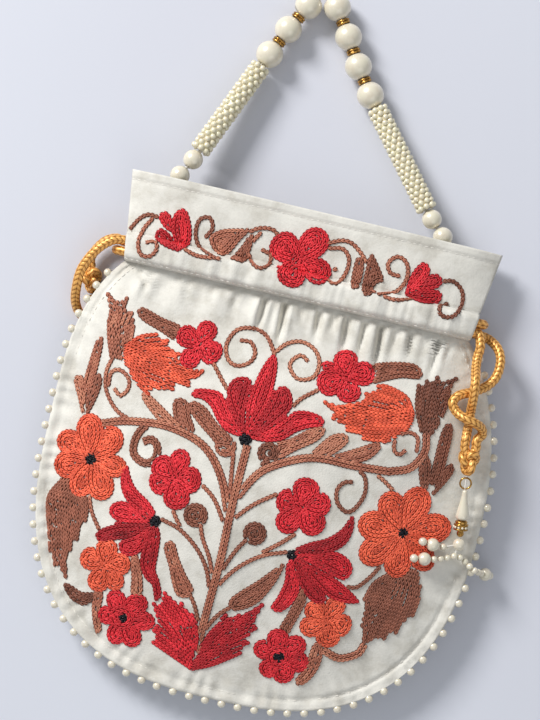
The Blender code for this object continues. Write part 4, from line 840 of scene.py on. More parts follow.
# Each field of stitches, in the order of sewing: its name, its thread and its shapes
EMBROIDERY = (
    ("middles", "black", """
    disc: -9 -111.5 3, -80 -138.5 3, 75.5 -138.5 2.7, -42.5 -160 2.8, 25.5 -160.5 2.5, -47.5 -210.5 2.3, 31 -211.5 2.6
    """),
    ("tulip_centre", "red", """
    contour: -9 -109, -12 -96, -10.5 -82, -8 -73, -5 -68.5, -2.5 -72, -1.5 -80, -2 -90, -5 -101;
    contour dye=0.3: -11 -108, -19 -99, -23 -91, -21.5 -85, -17 -82.5, -12.5 -84, -12.5 -96;
    contour dye=0.35: -6 -108, -1 -92, 0.5 -84, 4.5 -82.5, 8 -86, 9 -92, 5 -99, -1 -106;
    contour: -10 -110, -18 -110, -24 -106, -29 -100, -34 -97.5, -39 -97.5, -38 -93.5, -31 -92, -25.5 -92.5, -22.5 -96,
        -17 -103;
    contour: -7 -110, 0 -110.5, 8 -108, 14 -102.5, 20 -99, 25.5 -97, 25 -93, 18 -91.5, 11 -93, 7 -98, 0 -105;
    contour dye=0.3: -9 -110, -18 -110, -24 -106, -28 -99, -23 -96, -22.5 -90, -17 -84, -11.5 -85, -8 -75, -5 -70,
        -2 -76, -1 -85, 4 -84, 8 -89, 8 -95, 14 -99, 18 -99, 8 -108, 0 -110.5
    """),
    ("tulip_left", "red", """
    contour: -42 -158, -47 -152, -55 -147, -59 -142, -61.5 -137.5, -64 -140, -62.5 -148, -58 -154, -52 -157, -46 -160;
    contour: -44 -160.5, -52 -156, -60 -154.5, -65 -157.5, -65 -162, -60 -164.5, -52 -163.5;
    contour dye=0.1: -44 -161.5, -52 -163.5, -60 -166, -67 -170, -69.5 -174, -66.5 -176.5, -60 -174, -53 -171, -47 -166;
    contour dye=0.4: -44 -162.5, -50 -169, -57 -174, -55.5 -179, -51 -180, -46.5 -177, -44 -170;
    contour dye=0.25: -42 -161, -38.5 -166, -37.5 -175, -37 -183, -34 -188, -31.5 -195, -34 -198, -37 -191, -41 -188.5,
        -45 -182, -45.5 -173, -44 -165;
    contour dye=0.2: -43 -159, -50 -153, -55 -156, -62 -158, -60 -163, -62 -168, -52 -170, -53 -177, -46 -176,
        -43 -182, -39 -178, -39 -166
    """),
    ("tulip_right", "red", """
    contour dye=0.15: 26 -158, 32 -153, 40 -149, 46 -143, 49.5 -135.5, 51.5 -141, 50 -149, 44 -155, 36 -158;
    contour: 27 -160, 36 -157, 46 -154.5, 53 -157, 55.8 -162, 53 -167, 46 -166, 36 -163;
    contour dye=0.45: 28 -161.5, 38 -164, 48 -167, 56 -171, 62.5 -176, 56 -178, 48 -177, 40 -172, 32 -166;
    contour dye=0.25: 27 -162, 32 -167, 40 -172, 46.5 -177, 45 -181, 40 -180.5, 34 -176, 29 -169;
    contour: 26 -162, 29 -168, 33 -176, 31 -184, 26 -189.5, 21.5 -188, 23.5 -182, 25 -174, 24 -166;
    contour dye=0.2: 26 -159, 36 -152, 45 -156, 52 -162, 48 -167, 54 -172, 44 -176, 36 -176, 31 -178, 26 -176, 25 -165
    """),
    ("daisy_left", "orange", """
    petals foot=0.3: -80 -138.5 | -86 -117 14, -69.5 -121 14, -61.5 -139.5 11, -68.5 -156 14, -83 -158 12.5,
        -97 -147 14, -98.5 -130.5 13;
    disc: -80 -138.5 9
    """),
    ("daisy_right", "orange", """
    petals foot=0.3: 75.5 -138.5 | 80.5 -115 15, 63 -121 14, 53 -138 15, 58.5 -156 15, 77 -161 14, 93.5 -153 13,
        98.5 -130.5 15;
    disc: 75.5 -138.5 9
    """),
    ("small_red_flowers", "red", """
    petals: -41 -72 | -53 -68 11, -38 -60 10, -30 -76.5 12, -46 -84.5 10;
    petals: 32 -71 | 28 -58.5 12, 44.5 -65.5 12, 36 -83 12, 19 -79 13, 18.5 -67.5 6;
    petals: -38 -137.5 | -49.5 -131 12, -37 -123 10, -25 -136 13, -33 -152 13, -49 -144 12;
    petals: 24.5 -136.5 | 25 -122.5 13, 38 -132 12, 36 -147.5 13, 17 -150.5 12, 12 -135 12;
    disc: -41 -72 6, 32 -71 7, -38 -137.5 7, 24.5 -136.5 7, -48 -210.5 6.5, 31 -211.5 6.5;
    petals: -48 -210.5 | -55 -198 10, -39 -197.5 11, -31.5 -209 10, -38 -223 10.5, -49 -224.5 10, -60 -211.5 9.5;
    petals: 31 -211.5 | 27 -197.5 11, 41 -200 11, 46 -212 11, 37.5 -223.5 11, 25.5 -222.5 10, 18 -208 10
    """),
    ("small_orange_flowers", "orange", """
    petals: -61.5 -187 | -63 -174 11, -74.5 -185 11.5, -49.5 -183 11, -64 -201 11, -52 -197 10;
    petals: 50 -187.5 | 53 -175.5 10, 38 -182.5 11, 61.5 -190.5 12, 38 -196 11, 53 -201.5 12;
    disc: -61.5 -187 6, 50 -187.5 6
    """),
    ("orange_leaf_left", "orange", """
    fan: -75.5 -80.5, -70 -75, -63 -72.3 | -75.5 -82, -68 -78, -57 -74 | -75.5 -83, -66 -81, -50 -79 | -75.5 -84,
        -60 -86, -46 -88, -40 -88, -37 -84.5 | -75 -86, -62 -90, -42 -92.5 | -74 -88, -64 -94, -49 -96 | -73 -91,
        -67 -96.5, -60 -101
    """),
    ("orange_leaf_right", "orange", """
    fan: 66.5 -80, 62 -74, 52 -71.3, 48 -72 | 67 -82, 58 -78, 43 -77 | 67 -83.5, 55 -83, 36 -84 | 67 -85, 50 -88,
        32 -88.5, 24.5 -85.5 | 66.5 -87, 50 -91, 30 -92 | 65 -90, 52 -95, 38 -96 | 62 -94, 55 -98, 46 -99
    """),
    ("red_leaf_pair", "red", """
    fan: -10 -227, -20 -223, -30 -219 | -10 -226, -20 -218, -31 -213 | -10 -225, -20 -212, -34 -200 | -10 -224,
        -17 -208, -30 -193.5 | -10 -223, -13 -206, -21 -196.5 | -9.5 -221, -9.5 -211, -14 -200;
    fan dye=0.3: -8 -227, 0 -223, 7 -218, 12 -214 | -8 -226, 2 -217, 14.5 -208 | -8 -225, 3 -212, 16.5 -200 | -8 -224,
        5 -206, 17 -188 | -8 -222, -2 -208, 10 -194 | -8 -220, -5 -208, 1 -197
    """),
    ("vine", "brown", """
    stem width=3.6: -9 -226, -8.5 -205, -8 -190, -7.5 -170, -8 -142, -7.5 -115;
    stem width=3.2: -78 -120, -70 -117, -60 -115, -50 -114, -40 -115, -30 -118, -22 -124, -15 -134, -10 -146;
    stem width=3.2: -8 -142, 0 -127, 8 -120, 20 -114, 30 -112, 45 -112, 62 -111;
    stem width=2.5: 52 -112, 60 -115.5, 67 -120;
    stem width=2.5: -13 -120, -10 -142;
    stem width=2.8 dye=0.2: 2.5 -119, -4 -136;
    stem width=2: -32 -80, -26 -87, -22 -91;
    stem width=2: 19 -81, 13 -86, 10 -90;
    stem width=2.6: -25 -137, -17 -143, -10 -153;
    stem width=2.6: 11 -134, 2 -141, -6 -150;
    stem width=2.6 dye=0.35: -39 -158.5, -30 -161, -20 -168, -13 -177, -9 -188;
    stem width=2.4: -37 -150, -33 -156, -28 -162;
    stem width=2.6: 22 -160, 12 -164, 2 -172, -5 -182, -7 -190;
    stem width=2.6: 24 -151, 19 -156, 12 -162;
    stem width=2.4: -20.5 -157, -18 -163, -13 -171, -9 -181;
    stem width=2.4 dye=0.3: 2 -159, -1 -164, -4 -171, -7 -180;
    stem width=2.6 dye=0.35: -18 -191, -14 -197, -10.5 -206, -9 -216;
    stem width=2.6 dye=0.35: 3 -192, -2 -197, -6 -204, -8 -211;
    stem width=2.6: -77 -155, -74 -163, -69 -170;
    stem width=2.8 dye=0.2: 69 -156, 65 -163, 60 -169, 56 -170;
    stem width=2.6: -5 -68, -10 -61, -17 -58.5, -25 -61, -28.5 -69, -26 -76, -21 -78, -15.5 -75, -14 -70, -17 -65.5,
        -21.5 -65.5;
    stem width=2.4 dye=0.75: -5 -68, 0 -62, 7 -59.5, 14 -62, 17.5 -68, 16 -75, 9 -77.5, 4 -73, 4.5 -69, 8 -66, 11 -67.5;
    stem width=2.6: -81 -88, -82.5 -95, -81 -103, -76 -110, -70 -114, -62 -115, -52 -114;
    stem width=2.5: -80 -101, -80 -95, -76 -93, -71 -96, -70 -101, -73 -105, -76 -103;
    stem width=3 dye=0.3: -52 -114, -58 -117, -61 -124, -60 -131, -54 -134, -49.5 -131, -49.5 -125, -53 -122,
        -56 -123.5;
    stem width=3: 76 -90, 77 -98, 72 -107, 62 -111;
    stem width=2.4: 73 -98, 72 -92, 67 -90.5, 62 -94, 62 -100, 65 -102, 67 -100;
    stem width=2.5 dye=0.25: 45 -113, 51 -116, 53 -124, 50 -132, 46 -134.5, 41 -131, 39.5 -125, 42 -121, 45 -120;
    contour dye=0: -79.5 -201, -76 -201, -70 -203, -64 -202, -64 -206, -68 -209.5, -74 -208, -78 -204.5;
    contour: -64 -201, -59.5 -201, -59 -210, -56.5 -219, -58.5 -221.5, -61 -217, -63.5 -209;
    stem width=4.5 tip=5.5: 70 -197, 68 -201.5, 60 -205.5, 52 -203.5;
    contour: 46 -201, 49.5 -200, 51.5 -206, 51 -213, 48 -220, 44 -223.5, 41.5 -221, 44.5 -214, 45 -207;
    contour: -92.5 -106, -92 -92, -91 -82, -89.3 -78.5, -87.3 -82, -87 -95, -88 -106;
    contour dye=0.7: -89 -119, -94 -110, -97.5 -103, -95.5 -100, -91.5 -102, -89.5 -110;
    contour dye=0.3: -87 -118, -84 -108, -83.5 -100, -86 -97, -88.5 -101, -89.5 -110;
    contour dye=0.1: 83 -112, 82.5 -98, 83 -86, 85.5 -81.5, 88.3 -85, 88.7 -98, 88 -110;
    contour dye=0.15: 81 -118, 77 -110, 75.5 -102, 78 -99, 81.5 -103, 83 -112;
    contour dye=0.1: 85 -119, 90 -112, 93.5 -104, 91 -100.5, 88.5 -104, 86 -112;
    contour dye=0.3: -51 -66, -62 -63.5, -72 -60.8, -74.5 -63.5, -71 -67, -62 -70, -52 -73;
    contour dye=0.35: 42 -63, 52 -59, 62 -57.5, 67 -60, 66.5 -64, 58 -65.5, 50 -69, 43 -71.5;
    contour dye=0.8: -37 -114, -45 -109.5, -54 -104, -61 -100.5, -62.8 -103, -58 -108, -50 -113.5, -42 -115.5;
    contour dye=0.4: -34.5 -115.5, -42 -114, -46 -107, -47 -101.5, -44 -99.3, -39.5 -101, -37 -107, -34 -112;
    contour dye=0.45: -15 -113, -24 -107, -31 -101, -38 -99.3, -39 -103.5, -33 -109, -26 -114, -20 -118;
    disc: -17.5 -116.8 5.2;
    disc dye=0.1: 3.3 -115.3 5.4;
    contour dye=0.6: 7 -118, 5 -110.5, 12 -106, 20 -99.5, 26 -97, 27.3 -100, 24 -105, 16 -111;
    contour dye=0.7: 23 -112, 26 -106, 31 -100, 37 -98, 39.5 -101, 36 -106.5, 30 -111.5;
    contour: 24 -113.5, 34 -109, 45 -103, 53 -98.5, 55.5 -101, 51 -107.5, 42 -112, 32 -114.5;
    disc dye=0.15: -24 -152.5 5.9;
    disc dye=0.05: 5.7 -154.5 5.7;
    contour dye=0.55: -18.5 -192.5, -24 -193, -28 -187, -31 -180, -35.3 -172, -34.5 -168.3, -31 -168, -27 -175,
        -22 -182, -17 -188;
    contour dye=0.35: 23 -165, 22 -172, 19 -180, 15 -187, 9 -192, 3 -193.5, 1.3 -189, 5 -184, 12 -177, 18 -170;
    contour: -50 -180, -47 -178.5, -44.5 -183, -42 -190, -41 -197, -46 -197.5, -47.5 -190;
    contour dye=0.35: 34 -175, 37.3 -180, 36 -188, 34 -195, 32.5 -200, 28 -197, 30 -190, 32 -182;
    fan: -82 -87, -85 -79, -87 -71 | -81.5 -87, -85 -75, -85 -64, -90.5 -58.5 | -80.5 -87, -82.5 -75, -81 -58.5 |
        -79 -87, -79 -75, -77 -65 | -77 -87, -74.5 -78, -75 -67;
    fan dye=0: 73 -88, 68.5 -78, 67 -67.5 | 74.5 -88, 71 -76, 70.5 -64.5 | 75.5 -89, 74 -76, 75 -61.5 | 77 -89, 78 -75,
        78.5 -66, 84 -60 | 79 -87, 81.5 -78, 83 -68;
    fan dye=0.35: -92 -152, -96.5 -161, -95 -171 | -90 -152, -94 -166, -90 -187 | -88 -151, -90 -165, -86 -193 |
        -86 -151, -87 -168, -83 -188, -79.5 -197.5 | -84 -152, -83 -168, -80.5 -187 | -81 -153, -79 -165, -78 -178 |
        -79 -156, -76.5 -162, -76 -168;
    fan dye=0.25: 76 -158, 68 -165, 65 -174 | 78 -157, 71 -170, 67 -187 | 80 -156, 75 -172, 70 -188, 70 -197 | 82 -156,
        79 -172, 74 -193 | 84 -156, 83 -172, 79 -191 | 86 -156, 87 -170, 84 -187 | 88 -157, 91 -166, 90 -177
    """),
)
BAND_EMBROIDERY = (
    ("band_flowers", "red", """
    contour: -62 -29.5, -67 -22, -68 -14, -65 -9.8, -61.5 -11, -58 -18, -57 -25, -59 -29;
    contour: -66 -22, -71 -20.5, -75 -16, -73 -12.8, -69.5 -14, -67.5 -18;
    contour dye=0.35: -61 -30, -68 -23, -73.5 -21.5, -74.3 -27, -68 -30;
    petals foot=0.5: -4 -21 | -18 -13 15, 5.5 -4.5 14, 13 -26.5 13, -7 -35 14;
    disc: -10.5 -27 3;
    contour: 50.5 -25, 51 -16, 54 -9.5, 57 -8.3, 59.8 -12, 58 -18, 54 -23.5;
    contour dye=0.35: 53 -23, 58 -15.5, 63 -12.3, 66.8 -15, 65 -19, 59 -21.5;
    contour dye=0.3: 51 -26, 58 -21.5, 66 -20, 68.3 -23, 66 -27, 58 -28.5
    """),
    ("band_vine", "brown", """
    stem width=2.6 dye=0.3: -74 -16.5, -80 -16, -84 -19, -87 -24;
    stem width=2.4: -78 -18, -81 -24, -81.5 -31, -79 -36, -74.5 -36, -72 -32, -73.5 -28.5, -77 -29.5;
    stem width=2.6 dye=0.25: -50 -20, -48 -15.5, -50.5 -11, -55 -13, -55.5 -20, -52 -26, -44 -29.5;
    stem width=2.4: -60 -28.5, -52 -30.5, -42 -29.5;
    contour: -41 -28.5, -46 -25, -48.5 -20, -44 -15.5, -36 -13, -30.5 -12.5, -34 -19, -37 -25;
    contour dye=0.35: -41 -31, -36 -27, -32 -20, -30 -14, -28 -14, -27.5 -20, -29 -28.5, -36 -29;
    stem width=2.5: -31 -14, -26 -10.5, -20 -9.5, -17 -11;
    stem width=2.6: -25 -13, -28 -19, -27 -26, -22 -29.5, -17.5 -27, -17.5 -22, -21.5 -20.5;
    stem width=2.5: 9 -9.5, 15 -7, 20 -7.5, 25 -11, 28 -14;
    stem width=2.6: 10 -12, 16 -11, 20 -15, 20 -22, 17 -28, 13 -28, 11.5 -24, 14.5 -21.5;
    contour dye=0.35: 24 -28.5, 23 -20, 23.5 -13.5, 26 -13, 28 -18, 27.5 -28;
    contour dye=0.2: 29.5 -29.5, 29 -18, 29.5 -10, 32 -11.5, 37 -18, 38.8 -21.5, 35.5 -24, 34 -30;
    stem width=2.6: 45 -17.5, 41 -17, 39 -12.5, 43 -8.5, 48 -11, 49.5 -18, 46 -25, 38 -28.5;
    stem width=2.6: 35 -28, 45 -29.5, 53 -27.5;
    stem width=2.6 dye=0.1: 66 -15.5, 72 -14, 77.5 -18, 78.5 -25, 75 -31, 69.5 -31.5, 68 -27.5, 71 -25.5
    """),
)


def rows_of(shapes, pitch):
    """The rows of each shape, each a little darker or paler than the shape's dye."""
    for shape, places, dye, how in shapes:
        for i, row in enumerate(shape(pitch, *places, **how)):
            yield row, dye + DYE_CHANGE * math.sin(2.4 * i)


def sew(fields, cloth):
    """Sews the fields on the cloth. No stitch is put where another already is."""
    sizes = bpy.context.scene.bag_sizes
    length, width = sizes.stitch_length, sizes.stitch_width
    shape, taken = chain_stitch(length, width), {}
    for field, colour_name, text in fields:
        places, dyes = [], []
        for row, dye in rows_of(layout(text), width / MM):
            flat = [Vector((p.x * MM + LAYOUT_X, p.y * MM + LAYOUT_Y)) for p in row]
            line = [Vector((p.x, p.y, cloth(p.x, p.y))) for p in flat]
            long = lengths_along(line)[-1] if len(line) > 1 else 0.0
            if long < length / 4:
                continue
            for where, along in spaced(line, max(1, round(long / length))):
                if along.xy.length > 0.01 and claimed(taken, where):
                    places.append(on_cloth(cloth, where.x, where.y, along.xy.normalized(), STITCH_LIFT))
                    dyes.append(dye)
        node = f"embroidery_{field}"
        replaced = [node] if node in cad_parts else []
        bm = repeated(shape, places, dyes)
        made = finished(bm, f"stitched_{field}", colour_name, *replaced, slot=SLOTS[colour_name])
        # The second slot: the painted shade of the discs under the stitches
        made.data.materials.append(material(f"{colour_name}_ground"))
    return taken


def claimed(taken, where):
    """Takes a place for a stitch, unless one is already too near."""
    cell = (math.floor(where.x / STITCH_SPACING), math.floor(where.y / STITCH_SPACING))
    for i in (-1, 0, 1):
        for j in (-1, 0, 1):
            for other in taken.get((cell[0] + i, cell[1] + j), ()):
                if (other - where).length < STITCH_SPACING:
                    return False
    taken.setdefault(cell, []).append(where)
    return True


# Pearls, beads and rings


def pearl_shape(diameter, bore, segments=24):
    """A round pearl with a hole for its string along Z, as a template."""
    bm = bmesh.new()
    bmesh.ops.create_uvsphere(bm, u_segments=segments, v_segments=segments // 2 + 2, radius=diameter / 2)
    for vert in bm.verts:
        if math.hypot(vert.co.x, vert.co.y) < bore:
            vert.co.z *= 0.7
    return template(bm)


def aimed(where, along):
    """A place for a shape whose Z runs along a direction."""
    return Matrix.Translation(where) @ along.to_track_quat("Z", "Y").to_matrix().to_4x4()


def spun(bm, nearest):
    """Everything in the mesh spun round Z, with the points nearer to each other than a distance made one."""
    around = {"cent": (0, 0, 0), "axis": (0, 0, 1), "angle": 2 * math.pi, "steps": 32, "use_merge": True}
    bmesh.ops.spin(bm, geom=bm.verts[:] + bm.edges[:], **around)
    bmesh.ops.remove_doubles(bm, verts=bm.verts[:], dist=nearest)
    bmesh.ops.recalc_face_normals(bm, faces=bm.faces[:])
    return template(bm)


def turned_shape(profile):
    """A profile, in distances from Z and heights in millimetres, spun round Z, as a template."""
    bm = bmesh.new()
    verts = [bm.verts.new((r * MM, 0, z * MM)) for r, z in profile]
    for pair in zip(verts, verts[1:]):
        bm.edges.new(pair)
    return spun(bm, 1e-6)


def ring_shape(radius, wire):
    """A ring of round wire about Z, as a template."""
    bm = bmesh.new()
    bmesh.ops.create_circle(bm, segments=12, radius=wire / 2, matrix=Matrix.Translation((radius, 0, 0)) @ LYING)
    return spun(bm, 1e-7)


LARGE_PEARLS = [f"handle_pearl_{i}" for i in range(1, 8)]
LEFT_PEARLS = ["end_pearl_left_1", "end_pearl_left_2"]
RIGHT_PEARLS = ["end_pearl_right_2", "end_pearl_right_1"]
HANDLE_NODES = LEFT_PEARLS + LARGE_PEARLS + RIGHT_PEARLS


def handle_pearls():
    spots = [middle(n) for n in HANDLE_NODES]
    for i, (node, spot) in enumerate(zip(HANDLE_NODES, spots)):
        along = spots[min(i + 1, len(spots) - 1)] - spots[max(i - 1, 0)]
        diameter = HANDLE_PEARL if node in LARGE_PEARLS else END_PEARL
        bm = repeated(pearl_shape(diameter, 0.0012, 32), [aimed(spot, along)])
        finished(bm, f"round_{node}", "pearl", node, body="handle")


def spacer_rings():
    """Two thin gold rims on each spacer between the large pearls."""
    for i, (before, after) in enumerate(zip(LARGE_PEARLS, LARGE_PEARLS[1:])):
        node = f"spacer_ring_{i + 1}"
        along = (middle(after) - middle(before)).normalized()
        rims = [aimed(middle(node) + along * offset, along) for offset in (-RIM_OFFSET, RIM_OFFSET)]
        finished(repeated(ring_shape(*SPACER), rims), f"gold_{node}", "gold", node, body="handle")


def sleeve(side, pearl_node):
    """A sleeve of small beads, netted so that each row lies half a bead on from the last."""
    bead = bpy.context.scene.bag_sizes.sleeve_bead
    start, end = middle(f"end_pearl_{side}_2"), middle(pearl_node)
    ahead = (end - start).normalized()
    start, end = start + ahead * (END_PEARL / 2 + SLEEVE_GAP), end - ahead * (HANDLE_PEARL / 2 + SLEEVE_GAP)
    long, radius = (end - start).length, (SLEEVE_DIAMETER - bead) / 2
    around = round(2 * math.pi * radius / bead / BEAD_ROOM)
    rows = round(long / (bead * NET_PITCH))
    root = aimed(start, ahead)
    places = []
    for row in range(rows):
        for k in range(around):
            spin = Matrix.Rotation(2 * math.pi * (k + row % 2 / 2) / around, 4, "Z")
            local = spin @ Matrix.Translation((radius, 0, (row + 0.5) / rows * long))
            places.append(root @ local @ Matrix.Rotation(0.5 * math.sin(7 * k + 3 * row), 4, "X"))
    bm = repeated(pearl_shape(bead, 0.0004, 10), places)
    core = root @ Matrix.Translation((0, 0, long / 2))
    bmesh.ops.create_cone(
        bm, cap_ends=True, segments=16, radius1=radius, radius2=radius, depth=long - 0.001, matrix=core
    )
    finished(bm, f"netted_sleeve_{side}", "sleeve", f"bead_sleeve_{side}", body="handle")


def edge_pearls():
    """Pearls sewn along the seam of the body, with the thread that runs between them."""
    size = bpy.context.scene.bag_sizes.edge_pearl
    line = []
    outline = [p for p, _ in spaced(body_outline(), 240)]
    for i, point in enumerate(outline):
        ahead = outline[min(i + 1, len(outline) - 1)] - outline[max(i - 1, 0)]
        normal = Vector((ahead.y, -ahead.x)).normalized()
        if point.y < NECK_Y - EDGE_PEARL:
            line.append(Vector((*(point + normal * (size / 2 - EDGE_PEARL_TUCK)), SEAM_Z)))
    long = lengths_along(line)[-1]
    count = round((long - size) / EDGE_PEARL_PITCH)
    steps = 40 * count
    stops = spaced(line, steps)
    first = round(steps * (size / 2 + 0.0004) / long)
    places = [aimed(*stops[round(blend(first, steps - first, i / count))]) for i in range(count + 1)]
    bm = repeated(pearl_shape(size, 0.0006, 14), places)
    finished(bm, "edge_pearls", "pearl", "pearl_edging")
    up, holds = Vector((0, 0, 1)), []
    for place in places:
        inward = up.cross(place.col[2].xyz)
        holds.append(facing(place.translation + inward * size * 0.6, inward, up))
    finished(repeated(running_stitch(), holds), "edge_thread", "satin", slot="thread")


def frames_along(path):
    """Each point of a path with two directions square to it, which turn as little as they can."""
    frames, side = [], None
    for i, here in enumerate(path):
        ahead = (path[min(i + 1, len(path) - 1)] - path[max(i - 1, 0)]).normalized()
        side = ahead.orthogonal().normalized() if side is None else (side - ahead * side.dot(ahead)).normalized()
        frames.append((here, side, ahead.cross(side)))
    return frames


def swept(path, sides, radius, relief_at=lambda angle, distance: 1.0):
    """A closed tube along a path. radius(angle, distance) gives its form."""
    last = len(path) - 1
    bm = flat_grid(sides, last)
    # The relief is kept on the mesh, and the cord's finish paints shade into the grooves and a highlight onto the
    # crests from it
    relief = bm.verts.layers.float.new("relief")
    frames, distances = frames_along(path), lengths_along(path)
    for vert in bm.verts:
        angle = 2 * math.pi * (round((vert.co.x + 1) / 2 * sides) % sides) / sides
        row = round((vert.co.y + 1) / 2 * last)
        here, side, up = frames[row]
        reach = radius(angle, distances[row])
        vert[relief] = relief_at(angle, distances[row])
        vert.co = here + (side * math.cos(angle) + up * math.sin(angle)) * reach
    bmesh.ops.remove_doubles(bm, verts=bm.verts[:], dist=1e-7)
    bmesh.ops.holes_fill(bm, edges=[e for e in bm.edges if e.is_boundary], sides=0)
    bmesh.ops.recalc_face_normals(bm, faces=bm.faces[:])
    return bm


# The drawstrings


def braid(angle, distance):
    """Plaits that lean against each other in columns, like rows of small arrows: 0 in a groove and 1 on a crest."""
    place = angle / (2 * math.pi) * BRAID_COLUMNS
    column, share = int(place) % BRAID_COLUMNS, place % 1.0
    lean = share if column % 2 else 1 - share
    wave = abs(math.sin(math.pi * (distance / BRAID_PITCH + 0.75 * lean)))
    edge = 1 - abs(2 * share - 1) ** 5
    return math.sqrt(wave) * (0.45 + 0.55 * edge)


def braided(path, diameter, fine=0.0004):
    """A braid along a smooth path through the points, and that path."""
    stops, radius = smooth_route(path, fine), diameter / 2

    def reach(angle, distance):
        return radius * (1 - BRAID_RELIEF + BRAID_RELIEF * braid(angle, distance))

    # The braid's relief gives the form and also the cord's painted shade and painted highlight
    return swept(stops, 6 * BRAID_COLUMNS, reach, braid), stops


# Points of each free end's centre line in millimetres, out of the casing and into the knot
LEGS = {
    ("front", "right"): (
        (78, 88.9, 20), (80.7, 88.9, 19.2), (83.7, 88.9, 18.1), (86.3, 88.9, 18.1), (88.2, 83, 20), (88, 77.5, 19.9),
        (88.2, 72, 23), (88.8, 66.5, 28), (89.3, 61.5, 29), (89.9, 56.5, 27.3), (90.4, 51.5, 23.9), (90.8, 46.5, 23.6),
        (91, 41, 23.9), (91, 38, 25.1), (91.4, 34, 25.1), (92.8, 30.4, 25.1),
    ),
    ("back", "right"): (
        (78, 88.9, 8.1), (80.7, 88.9, 8.9), (83.7, 88.9, 10), (86.3, 88.9, 10), (92.5, 87.8, 10), (97.5, 84, 14.5),
        (99.8, 78, 17.2), (99.2, 70.5, 18.3), (95.6, 65, 19.2), (89, 60.6, 22.8), (83, 57.6, 24.8), (80.8, 53.4, 25.8),
        (83.6, 49.4, 26.6), (88, 47.4, 29.8), (92.4, 46.4, 29.4), (96.8, 44.8, 25.7), (98.4, 41.6, 23.6),
        (96.4, 38.5, 25.1), (96.8, 34.5, 25.1), (96.2, 30.8, 25.1),
    ),
    ("front", "left"): (
        (-86, 94.1, 20), (-88.7, 94.1, 19.2), (-91.7, 94.1, 18.1), (-94.3, 94.1, 18.1), (-98.6, 92.8, 18.6),
        (-103.4, 88.6, 18.6), (-107.4, 82.8, 17.4), (-110.4, 75.5, 15.8), (-111, 68, 14), (-110.6, 60.5, 8.6),
        (-108, 55, 3.6), (-103.9, 52.6, 2.7), (-101.6, 56, 3.2), (-102.7, 60.6, 5.8), (-103.6, 64.5, 5.8),
    ),
    ("back", "left"): (
        (-86, 94.1, 8.1), (-88.7, 94.1, 8.9), (-91.7, 94.1, 10), (-94.3, 94.1, 10), (-98, 94.6, 7.6),
        (-102.6, 92.4, 6.4), (-106, 88, 5.8), (-108.1, 82.6, 5.8), (-107.2, 78.7, 5.8), (-106.6, 76, 5.8),
    ),
}
KNOT_DIRECTIONS = {"right": Vector((-0.1, 1, 0)).normalized(), "left": Vector((-0.25, 1, 0)).normalized()}
KNOT_CORD = 0.0041


def knot(side):
    """The overhand knot that ties a drawstring's two ends: one braid wound through itself into a lump."""
    centre, along, up = middle(f"knot_{side}"), KNOT_DIRECTIONS[side], Vector((0, 0, 1))
    aside = along.cross(up).normalized()
    path = []
    for i in range(49):
        t = 2 * math.pi * i / 48
        lengthwise = 1.75 * (math.cos(t) - 2 * math.cos(2 * t)) + 0.6
        sideways = 1.25 * (math.sin(t) + 2 * math.sin(2 * t))
        rise = -2.0 * math.sin(3 * t)
        path.append(centre + (along * lengthwise + aside * sideways + up * rise) * MM)
    bm, _ = braided(path, KNOT_CORD)
    return finished(bm, f"braided_knot_{side}", "cord", f"knot_{side}")


def channel(side, lane, way):
    """The drawstring's hidden run through the casings and round the far side of the band."""
    def inside(x, face):
        return Vector((x, CASING_Y + lane, SEAM_Z + face * (front_base(x, CASING_Y) + GAP + CORD_DIAMETER / 2)))

    near = centre_x(CASING_Y) + way * (half_width(CASING_Y) - 0.006)
    far = centre_x(CASING_Y) - way * (half_width(CASING_Y) + GAP)
    run = [blend(near, far, i / 16) for i in range(17)]
    rise = inside(far, 1).z - SEAM_Z
    turn = []
    for share in (0.25, 0.5, 0.75):
        angle = math.pi * share
        x = far - way * rise * math.sin(angle)
        turn.append(Vector((x, CASING_Y + lane, SEAM_Z + rise * math.cos(angle))))
    path = [inside(x, 1) for x in run] + turn + [inside(x, -1) for x in reversed(run)]
    bm, _ = braided(path, bpy.context.scene.bag_sizes.cord_diameter * 0.98, 0.0012)
    finished(bm, f"braided_run_{side}", "cord", f"drawstring_channel_{side}")


# Profiles of the drop and of the rondelle with its neck, from the top: distances from the axis and heights
DROP = (
    (0, 7.4), (0.7, 7.35), (1.15, 7.0), (1.3, 6.2), (1.45, 4.5), (1.8, 2.2), (2.3, -0.2), (2.9, -2.8), (3.25, -4.6),
    (3.3, -5.8), (3.0, -6.7), (2.2, -7.25), (1.0, -7.45), (0, -7.5),
)
RONDELLE = (
    (0, 4.1), (2.4, 4.1), (3.0, 3.7), (3.05, 3.1), (2.6, 2.6), (3.1, 2.5), (3.55, 2.3), (3.6, 1.9), (3.3, 1.6),
    (3.3, 0.1), (3.6, -0.2), (3.55, -0.5), (3.1, -0.7), (1.1, -0.8), (1.6, -1.6), (1.75, -2.3), (1.6, -3.2),
    (1.0, -3.9), (0, -4.1),
)
STONES = 11


